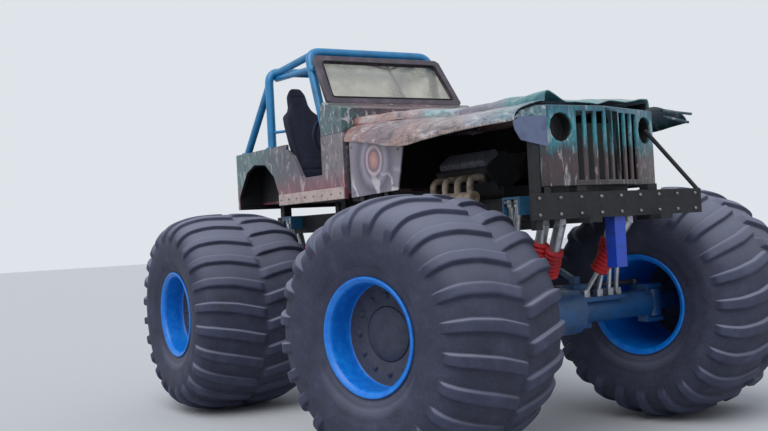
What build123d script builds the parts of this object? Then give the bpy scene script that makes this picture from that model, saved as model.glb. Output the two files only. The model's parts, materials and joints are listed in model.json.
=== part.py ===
"""Monster truck with an open small four-by-four body on a boxed frame, in millimetres.

+X is forward, +Y is the truck's left and +Z is up. The origin is on the ground, at the
middle of the truck's length and width. The front wheels stand turned to the left, and the
front sheet metal is bent: the grille's left half is pushed back and the bonnet's nose dips.
"""

import math
import os

from build123d import *

# Tyres and wheels
tyre_diameter = 1676
tyre_width = 1070
wheel_sides = 24
barrel_sides = 12
tube_sides = 8
thin_tube = 45
tread_crown_drop = 10
tread_edge_drop = 66
tread_wall_drop = 205
lug_height = 34
lug_width = 76
lug_sweep = 40
centre_groove = 43
sidewall_radius = 603
bead_spacing = 940
bead_face_height = 34
rim_seat_radius = 330
rim_wall = 14
rim_flange_radius = 358
rim_flange_thickness = 15
rim_disc_offset = 270
rim_disc_thickness = 22
rim_disc_bore = 168
hub_radius = 150
hub_flange_radius = 200
hub_flange_thickness = 14
hub_depth = 130
hub_cap_reach = 20
seat_clearance = 1

# Where the wheels stand
wheelbase = 2980
wheel_spacing = 2340
kingpin_inset = 260
steer_at_rest = 16.5

# Steered axles
axle_tube_radius = 95
diff_radius = 165
diff_width = 300
snout_radius = 88
snout_reach = 300
spindle_radius = 60
kingpin_radius = 22
running_clearance = 0.05
ear_thickness = 30
ear_reach = 50
ear_height = 105
knuckle_radius = 62
knuckle_clearance = 6
steering_arm = 140
arm_thickness = 26
arm_width = 60
arm_drop = 15
pin_stand = 8
truss_width = 120
truss_side = 180
upper_link_rise = 205
lower_link_drop = 100
tie_rod_height = 150
tie_rod_radius = 20
tie_rod_pin_radius = 14
tie_rod_eye_radius = 34
tie_rod_eye_height = 30
ledge_inner = 120
ledge_outer = 520
ledge_reach = 130
ledge_thickness = 32
shock_foot = 92

# Frame and what hangs on it
rail_width = 100
rail_height = 160
rail_top = 1630
rail_outer_spacing = 700
frame_front = 660
frame_tail = 640
cross_member_width = 90
cross_member_drop = 30
inner_member_reach = 420
front_member_setback = 150
belly_tube_radius = 38
belly_height = 1170
belly_half_length = 620
cradle_slope = 0.3
cradle_inset = 12
cradle_seat = 20
cradle_brace_run = 330
cross_panel_width = 1440
cross_panel_thickness = 20
upper_bar_height = 1350
link_radius = 34
link_spacing_at_axle = 560
link_spacing_at_belly = 420
upper_link_radius = 28
eye_length = 50
tow_eye_bore = 22
tow_eye_thickness = 30
tow_eye_reach = 110
part_gap = 2
shock_radius = 38
outer_shock_radius = 24
shock_rod_radius = 16
shock_eye = 48
shock_sleeve_start = 190
boot_radius = 62
boot_length = 210
fork_start = 85
fork_length = 180
fork_width = 130
fork_depth = 120
fork_wall = 18
post_size = 50
post_side = 650
post_bottom = 1410
post_lap = 50
strut_radius = 14
strut_setback = 150
strut_side = 410
upright_width = 90
upright_bottom = 1150

# Engine and drive line
engine_front = 200
engine_back = 880
engine_side_gap = 10
engine_drop = 60
engine_rise = 90
mount_length = 80
mount_height = 80
head_side = 205
head_lean = 35
head_size = (210, 230)
head_end_gap = 30
head_rise = 185
air_box_width = 300
air_box_end_gap = 140
air_box_bottom = 150
air_box_top = 330
port_side = 340
port_height = 160
port_size = 70
pipe_count = 4
pipe_pitch = 150
first_pipe = 300
header_pipe_radius = 24
header_bend = 60
collector_radius = 45
collector_side = 450
collector_rise = 20
collector_lead = 50
transmission_length = 620
transmission_half_width = 170
transmission_bottom = 1345
transmission_top = 1600
transfer_length = 210
transfer_half_width = 190
transfer_drop = 75
transfer_rise = 260
shaft_output_height = 1230
driveshaft_radius = 48
yoke_length = 60
radiator_front = 410
radiator_thickness = 80
radiator_width = 660
radiator_drop = 210

# Body tub
body_width = 1448
body_wall = 30
sill_height = 1719
rocker_height = 95
rocker_thickness = 14
tub_top = 2240
tub_tail = 3678
tub_front = 1575
floor_height = 1760
floor_thickness = 20
arch_front = 2752
arch_rear = 3640
arch_top = 2118
wheel_house_width = 230
wheel_house_wall = 20
door_front = 1940
door_rear_top = 2593
door_rear_bottom = 2314
door_sill = 1930
puck_width = 80
front_puck_setback = 120
rear_puck_setback = 110
fuel_cell_gap = 118
fuel_cell_length = 400
fuel_cell_width = 660
fuel_cell_height = 310

# Cowl and the loose side panels
cowl_top = 2492
cowl_wall = 25
cowl_front_drop = 60
dash_depth = 70
dash_height = 240
panel_gap = 100
panel_length = 700
panel_top = 2150
panel_thickness = 12
outrigger_width = 50

# Windscreen
screen_setback = 309
screen_lift = 22
screen_base_width = 1330
screen_run = 298
screen_rise = 439
screen_top_width = 1256
screen_bar = 62
screen_depth = 40
screen_corner_radius = 60
glass_thickness = 6
glass_lap = 12

# Bonnet, fenders and grille
nose_front = 645
bonnet_width = 1240
nose_width = 1120
bonnet_rear_height = 2300
bonnet_mid_drop = 20
bonnet_front_drop = 45
bonnet_crown = 35
bonnet_dip = 80
bonnet_skew = 11
skirt_depth = 60
bonnet_station = 150
edge_round = 40
sheet = 10
fender_width = 1720
fender_drop = 225
fender_shelf = 50
fender_fall = 8
lip_round = 30
lip_depth = 60
fender_rear = 640
grille_bottom = 1670
grille_drop = 135
grille_width = 1120
grille_thickness = 20
grille_flange = 60
grille_slots = 8
slot_width = 58
slot_pitch = 84
slot_margin = 34
lamp_radius = 90
lamp_spacing = 890
lamp_drop = 270
lamp_depth = 90
lamp_wall = 12
fold_side = 84
fold_angle = 18

# Roll cage and cab
cage_radius = 38
hoop_back = 2940
hoop_top = 2925
hoop_bend = 110
foot_plate = 10
front_hoop_back = 2170
front_hoop_top = 3000
front_hoop_lean = 345
front_hoop_foot_side = 575
brace_base_back = 3480
brace_drop = 120
roof_rail_inset = 60
lower_rail_drop = 60
lower_rail_fall = 30
lower_rail_gap = 12
roof_rail_drop = 20
hoop_corner_inset = 20
foot_block_height = 60
seat_side = 470
seat_width = 380
seat_front = 2240
seat_back = 2630
seat_cushion_height = 130
seat_back_height = 640
seat_recline = 19
seat_thickness = 90
head_height = 220
head_width = 200
wheel_setback = 300
wheel_drop = 202
steering_wheel_radius = 178
steering_wheel_rim = 28
column_radius = 22
column_rise = 30
column_gap = 12
column_box = 80
column_box_depth = 20


def tyre_reach(turn):
    """How far a tyre turned by this many degrees reaches ahead of its own centre."""
    angle = math.radians(turn)
    return max(r * math.cos(angle) + y * math.sin(angle) for y, r in tread_profile)


tyre_radius = tyre_diameter / 2
kingpin_spacing = wheel_spacing - 2 * kingpin_inset

# Outline of the tread over the lugs' tips: distance from the mid-plane, radius
tread_profile = [
    (0, tyre_radius),
    (0.23 * tyre_width, tyre_radius - tread_crown_drop),
    (0.44 * tyre_width, tyre_radius - tread_edge_drop),
    (0.49 * tyre_width, tyre_radius - tread_wall_drop),
]
kingpin_swing = kingpin_inset * math.sin(math.radians(steer_at_rest))
front_reach = kingpin_swing + tyre_reach(steer_at_rest)
rear_axle = tyre_radius - (wheelbase + front_reach + tyre_radius) / 2
front_axle = rear_axle + wheelbase
middle = (front_axle + rear_axle) / 2
rail_side = rail_outer_spacing / 2
rail_bottom = rail_top - rail_height
half_body = body_width / 2
floor_top = floor_height + floor_thickness
grille_top = bonnet_rear_height - grille_drop
lamp_height = bonnet_rear_height - lamp_drop
wheel_height = cowl_top - wheel_drop


def ahead(distance):
    """X of a point so far ahead of the front axle."""
    return front_axle + distance


def behind(distance):
    """X of a point so far behind the front axle."""
    return front_axle - distance


def block(x, y, z):
    """A box from its pairs of limits along each axis, in either order."""
    low = [min(pair) for pair in (x, y, z)]
    size = [max(pair) - min(pair) for pair in (x, y, z)]
    return Pos(*low) * Box(*size, align=(Align.MIN, Align.MIN, Align.MIN))


def bar(start, end, radius):
    """A many-sided bar or tube from one point to another, with fewer sides where it is thin."""
    along = Vector(*end) - Vector(*start)
    sides = tube_sides if radius < thin_tube else barrel_sides
    return extrude(Plane(origin=start, z_dir=along) * RegularPolygon(radius, sides), along.length)


def pin(start, end, radius):
    """A truly round bar, for what turns or is bored."""
    along = Vector(*end) - Vector(*start)
    return extrude(Plane(origin=start, z_dir=along) * Circle(radius), along.length)


def pipe(points, radius, bend):
    """A tube with each inner corner eased by two short mitred runs."""
    eased = [Vector(*points[0])]
    for before, corner, after in zip(points, points[1:], points[2:]):
        back = (Vector(*before) - Vector(*corner)).normalized()
        on = (Vector(*after) - Vector(*corner)).normalized()
        eased += [Vector(*corner) + back * bend, Vector(*corner) + on * bend]
    eased.append(Vector(*points[-1]))
    section = Plane(origin=eased[0], z_dir=eased[1] - eased[0]) * RegularPolygon(radius, tube_sides)
    return sweep(section, path=Polyline(*eased), transition=Transition.RIGHT)


def slab(outline, low, high):
    """A flat plate in the side view: outline in (x, z), from y = low to y = high."""
    side = Plane(origin=(0, high, 0), x_dir=(1, 0, 0), z_dir=(0, -1, 0))
    return extrude(side * make_face(Polyline(*outline, close=True)), high - low)


def left_and_right(shape):
    """The shape and its mirror image across the truck's centre plane, as one part."""
    return Part() + [shape, mirror(shape, about=Plane.XZ)]


def ring_stack(rings):
    """A many-sided wheel form along Y, flat at the bottom, through rings given as (y, radius)."""
    faces = [
        Plane(origin=(0, y, 0), x_dir=(1, 0, 0), z_dir=(0, 1, 0))
        * RegularPolygon(radius, wheel_sides, major_radius=False, rotation=180 / wheel_sides)
        for y, radius in rings
    ]
    return loft(faces, ruled=True)


def wheel_cylinder(radius, start, length):
    """A many-sided bar along +Y from y = start."""
    return bar((0, start, 0), (0, start + length, 0), radius)


def lug(turn):
    """One tread lug as a tall straight prism, swept back from the middle to the shoulder."""
    half = lug_width / 2
    inner = centre_groove / 2
    outer = tread_profile[3][0]
    outline = [
        (-lug_sweep - half, inner),
        (-lug_sweep + half, inner),
        (lug_sweep + half, outer),
        (lug_sweep - half, outer),
    ]
    foot = Plane(origin=(0, 0, sidewall_radius)) * make_face(Polyline(*outline, close=True))
    return Rot(0, turn, 0) * extrude(foot, tyre_radius)


def half_tyre():
    """The outer half of a tyre from its mid-plane, with one lug on each of its flats."""
    # flats so far in that the lugs' farthest corners reach the full radius
    flat = math.sqrt(1 - ((lug_sweep + lug_width / 2) / tyre_radius) ** 2)
    tips = [(y, flat * r) for y, r in tread_profile]
    rings = [(y, r - flat * lug_height) for y, r in tips[:3]]
    rings += [(tyre_width / 2, sidewall_radius), (bead_spacing / 2, rim_seat_radius + bead_face_height)]
    pitch = 360 / wheel_sides
    lugs = (Part() + [lug(pitch * i) for i in range(wheel_sides)]) & ring_stack(tips)
    return ring_stack(rings) + lugs


def tyre():
    """A tyre along Y about the origin, solid between tread, walls and bead seats."""
    stagger = 90 / wheel_sides
    half = Rot(0, stagger, 0) * half_tyre()
    whole = half + mirror(Rot(0, -2 * stagger, 0) * half, about=Plane.XZ)
    seat = rim_seat_radius + seat_clearance
    return whole - ring_stack([(-tyre_width / 2, seat), (tyre_width / 2, seat)])


def rim():
    """A deep-dished rim along Y, its dish and hub face towards +Y."""
    seat = bead_spacing / 2 + seat_clearance
    flange = seat + rim_flange_thickness
    inner = rim_seat_radius - rim_wall
    shell = ring_stack([(-flange, rim_flange_radius), (-seat, rim_flange_radius)])
    shell += ring_stack([(-seat, rim_seat_radius), (seat, rim_seat_radius)])
    shell += ring_stack([(seat, rim_flange_radius), (flange, rim_flange_radius)])
    shell -= wheel_cylinder(inner, -flange, flange + rim_disc_offset)
    shell -= wheel_cylinder(inner, rim_disc_offset + rim_disc_thickness, flange - rim_disc_offset)
    return shell - wheel_cylinder(rim_disc_bore, rim_disc_offset - 1, rim_disc_thickness + 2)


def hub():
    """The geared hub: a barrel on the spindle, a flange behind the disc and a cap through it."""
    start = rim_disc_offset - hub_depth
    cap_end = rim_disc_offset + rim_disc_thickness + hub_cap_reach
    body = wheel_cylinder(hub_radius, start, cap_end - start)
    body += wheel_cylinder(hub_flange_radius, rim_disc_offset - hub_flange_thickness,
                           hub_flange_thickness)
    return body - pin((0, start, 0), (0, rim_disc_offset, 0), spindle_radius + running_clearance)


def knuckle():
    """A steering knuckle about its kingpin, with the spindle along +Y and its arm on +X."""
    height = ear_height - knuckle_clearance
    spindle_end = kingpin_inset + rim_disc_offset - knuckle_clearance
    ear_top = ear_height + ear_thickness
    post = bar((0, 0, -height), (0, 0, height), knuckle_radius)
    post += pin((0, 0, -ear_top), (0, 0, ear_top), kingpin_radius)
    post += pin((0, 0, 0), (0, spindle_end, 0), spindle_radius)
    arm_top = height - arm_drop
    boss_top = tie_rod_height - tie_rod_radius - part_gap
    arm = block((0, steering_arm), (-arm_width / 2, arm_width / 2), (arm_top - arm_thickness, arm_top))
    arm += bar((steering_arm, 0, arm_top - arm_thickness), (steering_arm, 0, boss_top), arm_width / 2)
    pin_top = tie_rod_height + tie_rod_eye_height / 2 + pin_stand
    return post + arm + pin((steering_arm, 0, arm_top), (steering_arm, 0, pin_top), tie_rod_pin_radius)


def tie_rod():
    """The bar that joins the two steering arms, from its right eye towards +Y."""
    low = -tie_rod_eye_height / 2
    high = tie_rod_eye_height / 2
    rod = wheel_cylinder(tie_rod_radius, 0, kingpin_spacing)
    for y in (0, kingpin_spacing):
        rod += bar((0, y, low), (0, y, high), tie_rod_eye_radius)
    for y in (0, kingpin_spacing):
        rod -= pin((0, y, 2 * low), (0, y, 2 * high), tie_rod_pin_radius + running_clearance)
    return rod


def axle_housing(nose):
    """A driven axle about the origin; its pinion snout points to +X where nose is 1."""
    ends = kingpin_spacing / 2 - knuckle_radius - 2 * knuckle_clearance
    ear_top = ear_height + ear_thickness
    tube = wheel_cylinder(axle_tube_radius, -ends, 2 * ends)
    tube += wheel_cylinder(diff_radius, -diff_width / 2, diff_width)
    tube += bar((0, 0, 0), (nose * snout_reach, 0, 0), snout_radius)
    ear = block(
        (-ear_reach, ear_reach),
        (ends - ear_thickness, kingpin_spacing / 2 + ear_reach),
        (ear_height, ear_top),
    )
    ear -= pin(
        (0, kingpin_spacing / 2, 0), (0, kingpin_spacing / 2, 2 * ear_height),
        kingpin_radius + running_clearance,
    )
    flange = block((-ear_reach, ear_reach), (ends - ear_thickness, ends), (-ear_top, ear_top))
    truss = block(
        (-truss_width / 2, truss_width / 2),
        (truss_side - truss_width / 2, truss_side + truss_width / 2),
        (axle_tube_radius / 2, upper_link_rise - upper_link_radius),
    )
    ledge = block((0, -nose * ledge_reach), (ledge_inner, ledge_outer),
                  (shock_foot - ledge_thickness, shock_foot))
    side = link_spacing_at_axle / 2
    bracket = block((0, nose * (axle_tube_radius + link_radius)), (side - link_radius, side + link_radius),
                    (-lower_link_drop - link_radius, -lower_link_drop + link_radius))
    return tube + left_and_right(Part() + [ear, mirror(ear, about=Plane.XY), flange, truss, ledge, bracket])


nodes = {}
base_tyre = tyre()
axle_height = -base_tyre.bounding_box().min.Z
base_rim = rim()
base_hub = hub()
base_knuckle = knuckle()
base_tie_rod = tie_rod()


def place_axle(where, x, turn, arm):
    """Put one steered axle's wheels, hubs, knuckles and tie rod at x, turned to the left."""
    nodes[f"axle_{where}"] = Pos(x, 0, axle_height) * axle_housing(arm)
    for side_name, side in (("left", 1), ("right", -1)):
        corner = Pos(x, side * kingpin_spacing / 2, axle_height) * Rot(0, 0, turn)
        out = corner * Pos(0, side * kingpin_inset, 0)
        face = Rot(0, 0, 0) if side > 0 else Rot(0, 0, 180)
        # the arms point towards the middle of the truck
        own_knuckle = base_knuckle
        if arm < 0:
            own_knuckle = mirror(own_knuckle, about=Plane.YZ)
        if side < 0:
            own_knuckle = mirror(own_knuckle, about=Plane.XZ)
        nodes[f"tyre_{where}_{side_name}"] = out * face * base_tyre
        nodes[f"rim_{where}_{side_name}"] = out * face * base_rim
        nodes[f"hub_{where}_{side_name}"] = out * face * base_hub
        nodes[f"knuckle_{where}_{side_name}"] = corner * own_knuckle
    eye = Pos(x, -kingpin_spacing / 2, axle_height) * Rot(0, 0, turn)
    eye_point = (eye * Pos(arm * steering_arm, 0, tie_rod_height)).position
    nodes[f"tie_rod_{where}"] = Pos(*eye_point) * base_tie_rod


place_axle("front", front_axle, steer_at_rest, -1)
place_axle("rear", rear_axle, 0, 1)


def tow_eye(x, out):
    """A flat tow plate under one rail's end, with its pin hole upright beyond the rail."""
    side = rail_side - rail_width / 2
    half = rail_width / 2
    tip = x + out * tow_eye_reach
    plate = block((x - out * tow_eye_reach, tip), (side - half, side + half),
                  (rail_bottom - tow_eye_thickness, rail_bottom))
    hole_x = tip - out * half
    return plate - pin((hole_x, side, rail_bottom - 2 * tow_eye_thickness),
                       (hole_x, side, rail_bottom + tow_eye_thickness), tow_eye_bore)


def link_anchor(toward, height):
    """X of the cradle's cross bar at this height: toward is -1 behind the front axle."""
    return middle - toward * (belly_half_length + cradle_slope * (height - belly_height))


# Links: radius, half spacing at the axle, rise over the axle, half spacing and height at the frame
link_table = [
    (link_radius, link_spacing_at_axle / 2, -lower_link_drop, link_spacing_at_belly / 2,
     belly_height),
    (upper_link_radius, truss_side, upper_link_rise, link_spacing_at_belly / 2, upper_bar_height),
]


def frame():
    """Two boxed rails with cross members, tow plates and a round-tube cradle in the middle."""
    tail = rear_axle - frame_tail
    nose = ahead(frame_front)
    rail = block((tail, nose), (rail_side - rail_width, rail_side), (rail_bottom, rail_top))
    rail += [tow_eye(nose, 1), tow_eye(tail, -1)]
    built = left_and_right(rail)
    for x in (tail, rear_axle + inner_member_reach, middle - inner_member_reach,
              behind(front_member_setback), nose - cross_member_width):
        built += block((x, x + cross_member_width), (-rail_side + rail_width, rail_side - rail_width),
                       (rail_bottom + cross_member_drop, rail_top - cross_member_drop))
    side = rail_side - belly_tube_radius - cradle_inset
    inside_rail = rail_bottom + cradle_seat
    for s in (-1, 1):
        corner = (middle + s * belly_half_length, side, belly_height)
        foot = (corner[0] + s * cradle_slope * (inside_rail - belly_height), side, inside_rail)
        tubes = [
            bar((middle, side, belly_height), corner, belly_tube_radius),
            bar(corner, foot, belly_tube_radius),
            bar(corner, (corner[0] - s * cradle_brace_run, side, inside_rail), belly_tube_radius),
        ]
        built += left_and_right(Part() + tubes)
        for radius, _, _, frame_side, height in link_table:
            x = link_anchor(-s, height)
            built += bar((x, -side, height), (x, side, height), belly_tube_radius)
            built += left_and_right(block(
                (x, x + s * (belly_tube_radius + radius)), (frame_side - radius, frame_side + radius),
                (height - radius, height + radius),
            ))
    return built


def eye(x, toward, y, z, radius):
    """A link's square eye, with its flat face at x and its body on the toward side."""
    return block((x, x + toward * eye_length), (y - radius, y + radius), (z - radius, z + radius))


def links(x, toward):
    """The four suspension links between one axle and the frame's cradle, with square eyes."""
    solids = []
    for radius, axle_side, axle_rise, frame_side, height in link_table:
        z = axle_height + axle_rise
        axle_face = x + toward * (axle_tube_radius + radius if axle_rise < 0 else -eye_length / 2)
        frame_face = link_anchor(toward, height) - toward * (belly_tube_radius + radius)
        start = (axle_face + toward * eye_length / 2, axle_side, z)
        end = (frame_face - toward * eye_length / 2, frame_side, height)
        solids.append(left_and_right(
            bar(start, end, 0.9 * radius)
            + eye(axle_face, toward, axle_side, z, radius)
            + eye(frame_face, -toward, frame_side, height, radius)
        ))
    return Part() + solids


nodes["frame"] = frame()
nodes["links_front"] = links(front_axle, -1)
nodes["links_rear"] = links(rear_axle, 1)


def shock_mounts(x, out):
    """Forked brackets on the rails' outer faces that hold the outer shocks' tops."""
    near = x + out * fork_start
    far = near + out * fork_length
    fork = block((near, far), (rail_side, rail_side + fork_width), (rail_top - fork_depth, rail_top))
    fork -= block((near + out * fork_wall, far - out * fork_wall),
                  (rail_side + 2 * fork_wall, rail_side + 2 * fork_width),
                  (rail_top - 2 * fork_depth, rail_top - fork_wall))
    return left_and_right(fork)


nodes["shock_mounts_front"] = shock_mounts(front_axle, 1)
nodes["shock_mounts_rear"] = shock_mounts(rear_axle, -1)

# Shocks of one side: foot beyond the axle and off centre, top and its height, radius, boot
shock_table = [
    (95, 300, 280, 300, rail_bottom, shock_radius, True),
    (95, 182, 430, 290, rail_bottom, shock_radius, True),
    (95, 400, 135, 440, rail_top - fork_wall, outer_shock_radius, False),
    (95, 470, 215, 440, rail_top - fork_wall, outer_shock_radius, False),
]


def shocks(x, out):
    """Gas shocks from one axle to the frame; the inner ones wear rubber boots."""
    bodies = []
    boots = []
    half = shock_eye / 2
    for low_x, low_y, high_x, high_y, high_z, radius, booted in shock_table:
        foot = axle_height + shock_foot
        low = Vector(x + out * low_x, low_y, foot + half)
        high = Vector(x + out * high_x, high_y, high_z - half)
        along = (high - low).normalized()
        sleeve = low + along * shock_sleeve_start
        shock = bar(low, sleeve, shock_rod_radius)
        shock += block((low.X - half, low.X + half), (low.Y - half, low.Y + half), (foot, foot + shock_eye))
        if booted:
            boot_end = sleeve + along * boot_length
            boots.append(bar(sleeve, boot_end, boot_radius))
            bodies.append(shock)
            sleeve = boot_end
            shock = Part()
        shock += bar(sleeve, high, radius)
        shock += block((high.X - half, high.X + half), (high.Y - half, high.Y + half),
                       (high_z - shock_eye, high_z))
        bodies.append(shock)
    return left_and_right(Part() + bodies), left_and_right(Part() + boots)


nodes["shocks_front"], nodes["boots_front"] = shocks(front_axle, 1)
nodes["shocks_rear"], nodes["boots_rear"] = shocks(rear_axle, -1)


def front_cross_panel():
    """The wide plate across the rails' noses, its two corner posts and the blue upright."""
    nose = ahead(frame_front)
    half = cross_panel_width / 2
    plate = block((nose, nose + cross_panel_thickness), (-half, half), (rail_bottom, rail_top))
    post_top = bonnet_rear_height - fender_drop + post_lap
    post = block((nose - post_size, nose), (post_side - post_size / 2, post_side + post_size / 2),
                 (post_bottom, post_top))
    strut = bar((nose + cross_panel_thickness / 2, half - strut_radius, rail_top - strut_radius),
                (nose - strut_setback, strut_side, lamp_height), strut_radius)
    return plate + mirror(post, about=Plane.XZ) + strut


nodes["front_cross_panel"] = front_cross_panel()
nodes["front_upright"] = block(
    (ahead(frame_front) - cross_member_width, ahead(frame_front)),
    (-upright_width / 2, upright_width / 2), (upright_bottom, rail_bottom + cross_member_drop),
)


def engine():
    """The V8 as it shows through the open sides: block, heads, ports, mounts and air box."""
    front = behind(engine_front)
    back = behind(engine_back)
    centre = (front + back) / 2
    rail_inner = rail_side - rail_width
    side = rail_inner - engine_side_gap
    motor = block((back, front), (-side, side), (rail_bottom - engine_drop, rail_top + engine_rise))
    for s in (-1, 1):
        bank = Pos(centre, s * head_side, rail_top + head_rise) * Rot(s * -head_lean, 0, 0)
        motor += bank * Box(front - back - 2 * head_end_gap, *head_size)
    motor += block((back + air_box_end_gap, front - air_box_end_gap),
                   (-air_box_width / 2, air_box_width / 2),
                   (rail_top + air_box_bottom, rail_top + air_box_top))
    mount_low = (rail_bottom + rail_top - mount_height) / 2
    fittings = [block((centre - mount_length / 2, centre + mount_length / 2), (side, rail_inner),
                      (mount_low, mount_low + mount_height))]
    for i in range(pipe_count):
        x = behind(first_pipe + pipe_pitch * i)
        z = rail_top + port_height
        half = port_size / 2
        fittings.append(block((x - half, x + half), (head_side, port_side), (z - half, z + half)))
    return motor + left_and_right(Part() + fittings)


def headers():
    """Four exhaust pipes a side that leave the heads and drop to a collector."""
    z = rail_top + port_height
    low = rail_top + collector_rise
    solids = []
    for i in range(pipe_count):
        x = behind(first_pipe + pipe_pitch * i)
        solids.append(pipe([(x, port_side, z), (x, collector_side, z), (x, collector_side, low)],
                           header_pipe_radius, header_bend))
    solids.append(bar((behind(first_pipe - collector_lead), collector_side, low),
                      (behind(first_pipe + pipe_pitch * pipe_count), collector_side, low),
                      collector_radius))
    return left_and_right(Part() + solids)


nodes["engine"] = engine()
nodes["exhaust_headers"] = headers()
transmission_back = behind(engine_back + transmission_length)
transfer_back = transmission_back - transfer_length
nodes["transmission"] = block(
    (transmission_back, behind(engine_back)), (-transmission_half_width, transmission_half_width),
    (transmission_bottom, transmission_top),
)
nodes["transfer_case"] = block(
    (transfer_back, transmission_back), (-transfer_half_width, transfer_half_width),
    (shaft_output_height - transfer_drop, shaft_output_height + transfer_rise),
)


def driveshaft(axle_x, toward, case_x):
    """A shaft with a straight yoke at the axle's snout and one at the transfer case."""
    snout_end = axle_x + toward * snout_reach
    snout_yoke = snout_end + toward * yoke_length
    case_yoke = case_x - toward * yoke_length
    shaft = bar((snout_end, 0, axle_height), (snout_yoke, 0, axle_height), driveshaft_radius)
    shaft += bar((case_yoke, 0, shaft_output_height), (case_x, 0, shaft_output_height), driveshaft_radius)
    return shaft + bar(
        (snout_yoke - toward * yoke_length / 2, 0, axle_height),
        (case_yoke + toward * yoke_length / 2, 0, shaft_output_height), 0.8 * driveshaft_radius,
    )


nodes["driveshaft_front"] = driveshaft(front_axle, -1, transmission_back)
nodes["driveshaft_rear"] = driveshaft(rear_axle, 1, transfer_back)
nodes["radiator"] = block(
    (ahead(radiator_front - radiator_thickness), ahead(radiator_front)),
    (-radiator_width / 2, radiator_width / 2), (rail_top, bonnet_rear_height - radiator_drop),
)
nodes["fuel_cell"] = block(
    (behind(tub_tail - fuel_cell_gap), behind(tub_tail - fuel_cell_gap - fuel_cell_length)),
    (-fuel_cell_width / 2, fuel_cell_width / 2), (floor_top, floor_top + fuel_cell_height),
)


# Rear wheel opening: share of its length from the back, share of its height over the sill
arch_table = [(0, -0.12), (0, 0.3), (0.22, 0.85), (0.42, 1), (0.68, 0.95), (0.88, 0.65), (1, 0.15), (1, -0.12)]
# Rear edge of the side entry: share from its bottom corner to its top one, share of its height
door_table = [(1, 1.15), (1, 0.87), (0.53, 0.65), (0.21, 0.32), (0, 0.06), (-0.09, 0)]
# Loose side panel: share of its length, share of its height
panel_table = [(0, 0), (0, 1), (0.45, 0.95), (1.1, 0.75), (0.97, 0.05)]


def arch_outline():
    """The rear wheel opening in the side view, wide at the bottom and round on top."""
    length = arch_rear - arch_front
    height = arch_top - sill_height
    return [(behind(arch_rear - back * length), sill_height + up * height) for back, up in arch_table]


def door_outline():
    """The open side entry in the side view, curved at its rear edge."""
    run = door_rear_top - door_rear_bottom
    height = tub_top - door_sill
    rear = [(behind(door_rear_bottom + back * run), door_sill + up * height) for back, up in door_table]
    return rear + [(behind(door_front), door_sill), (behind(door_front), rear[0][1])]


house_inner = half_body - body_wall - wheel_house_width


def tub():
    """The open body tub: two sides, a tail wall and the floor, hollow above and below it."""
    tail = behind(tub_tail)
    front = behind(tub_front)
    inner = half_body - body_wall
    shell = block((tail, front), (-half_body, half_body), (sill_height, tub_top))
    beyond = front + body_wall
    shell -= block((tail + body_wall, beyond), (-inner, inner), (floor_top, tub_top + body_wall))
    shell -= block((tail + body_wall, beyond), (-inner, inner), (sill_height - body_wall, floor_height))
    arch = slab(arch_outline(), house_inner + wheel_house_wall, body_width)
    return shell - left_and_right(arch) - slab(door_outline(), -body_width, body_width)


def wheel_houses():
    """Boxes over the rear tyres that close the arches towards the cab."""
    back = behind(tub_tail - body_wall)
    front = behind(arch_front - wheel_house_wall)
    outer = half_body - body_wall
    top = arch_top + wheel_house_wall
    house = block((back, front), (house_inner, outer), (floor_top, top))
    house -= block((back, front - wheel_house_wall), (house_inner + wheel_house_wall, outer),
                   (floor_top, top - wheel_house_wall))
    return left_and_right(house)


def rockers():
    """The pale strips along the bottom of the tub's sides."""
    return left_and_right(block(
        (behind(arch_front), behind(tub_front)), (half_body, half_body + rocker_thickness),
        (sill_height, sill_height + rocker_height),
    ))


nodes["tub"] = tub()
nodes["wheel_houses"] = wheel_houses()
nodes["rocker_strips"] = rockers()
panel_rear = behind(tub_front) + panel_gap


def body_mounts():
    """Pucks between rails and floor, outriggers to the side panels and pucks under the grille."""
    side = rail_side - rail_width / 2
    half = puck_width / 2
    solids = []
    for distance in (tub_front + front_puck_setback, door_rear_bottom, arch_rear - rear_puck_setback):
        x = behind(distance)
        solids.append(block((x - half, x + half), (side - half, side + half), (rail_top, floor_height)))
    panel_face = half_body - panel_thickness
    reach = outrigger_width
    for share in (0.2, 0.7):
        x = panel_rear + share * panel_length
        solids.append(
            block((x - reach / 2, x + reach / 2), (rail_side, panel_face), (rail_top - reach, rail_top))
            + block((x - reach / 2, x + reach / 2), (panel_face - reach, panel_face),
                    (rail_top, sill_height + 2 * reach))
        )
    nose = ahead(frame_front)
    solids.append(block((nose - puck_width, nose), (side - half, side + half), (rail_top, grille_bottom)))
    return left_and_right(Part() + solids)


nodes["body_mounts"] = body_mounts()

# The windscreen's base line stands on a lip of the cowl; its plane leans back
rake = math.atan2(screen_run, screen_rise)
screen_base = (behind(tub_front + screen_setback), cowl_top + screen_lift)
screen_heel = (screen_base[0] - screen_depth * math.cos(rake), screen_base[1] - screen_depth * math.sin(rake))
screen_plane = Plane(
    origin=(screen_base[0], 0, screen_base[1]), x_dir=(0, 1, 0), z_dir=(math.cos(rake), 0, math.sin(rake))
)
screen_length = math.hypot(screen_run, screen_rise)


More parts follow.
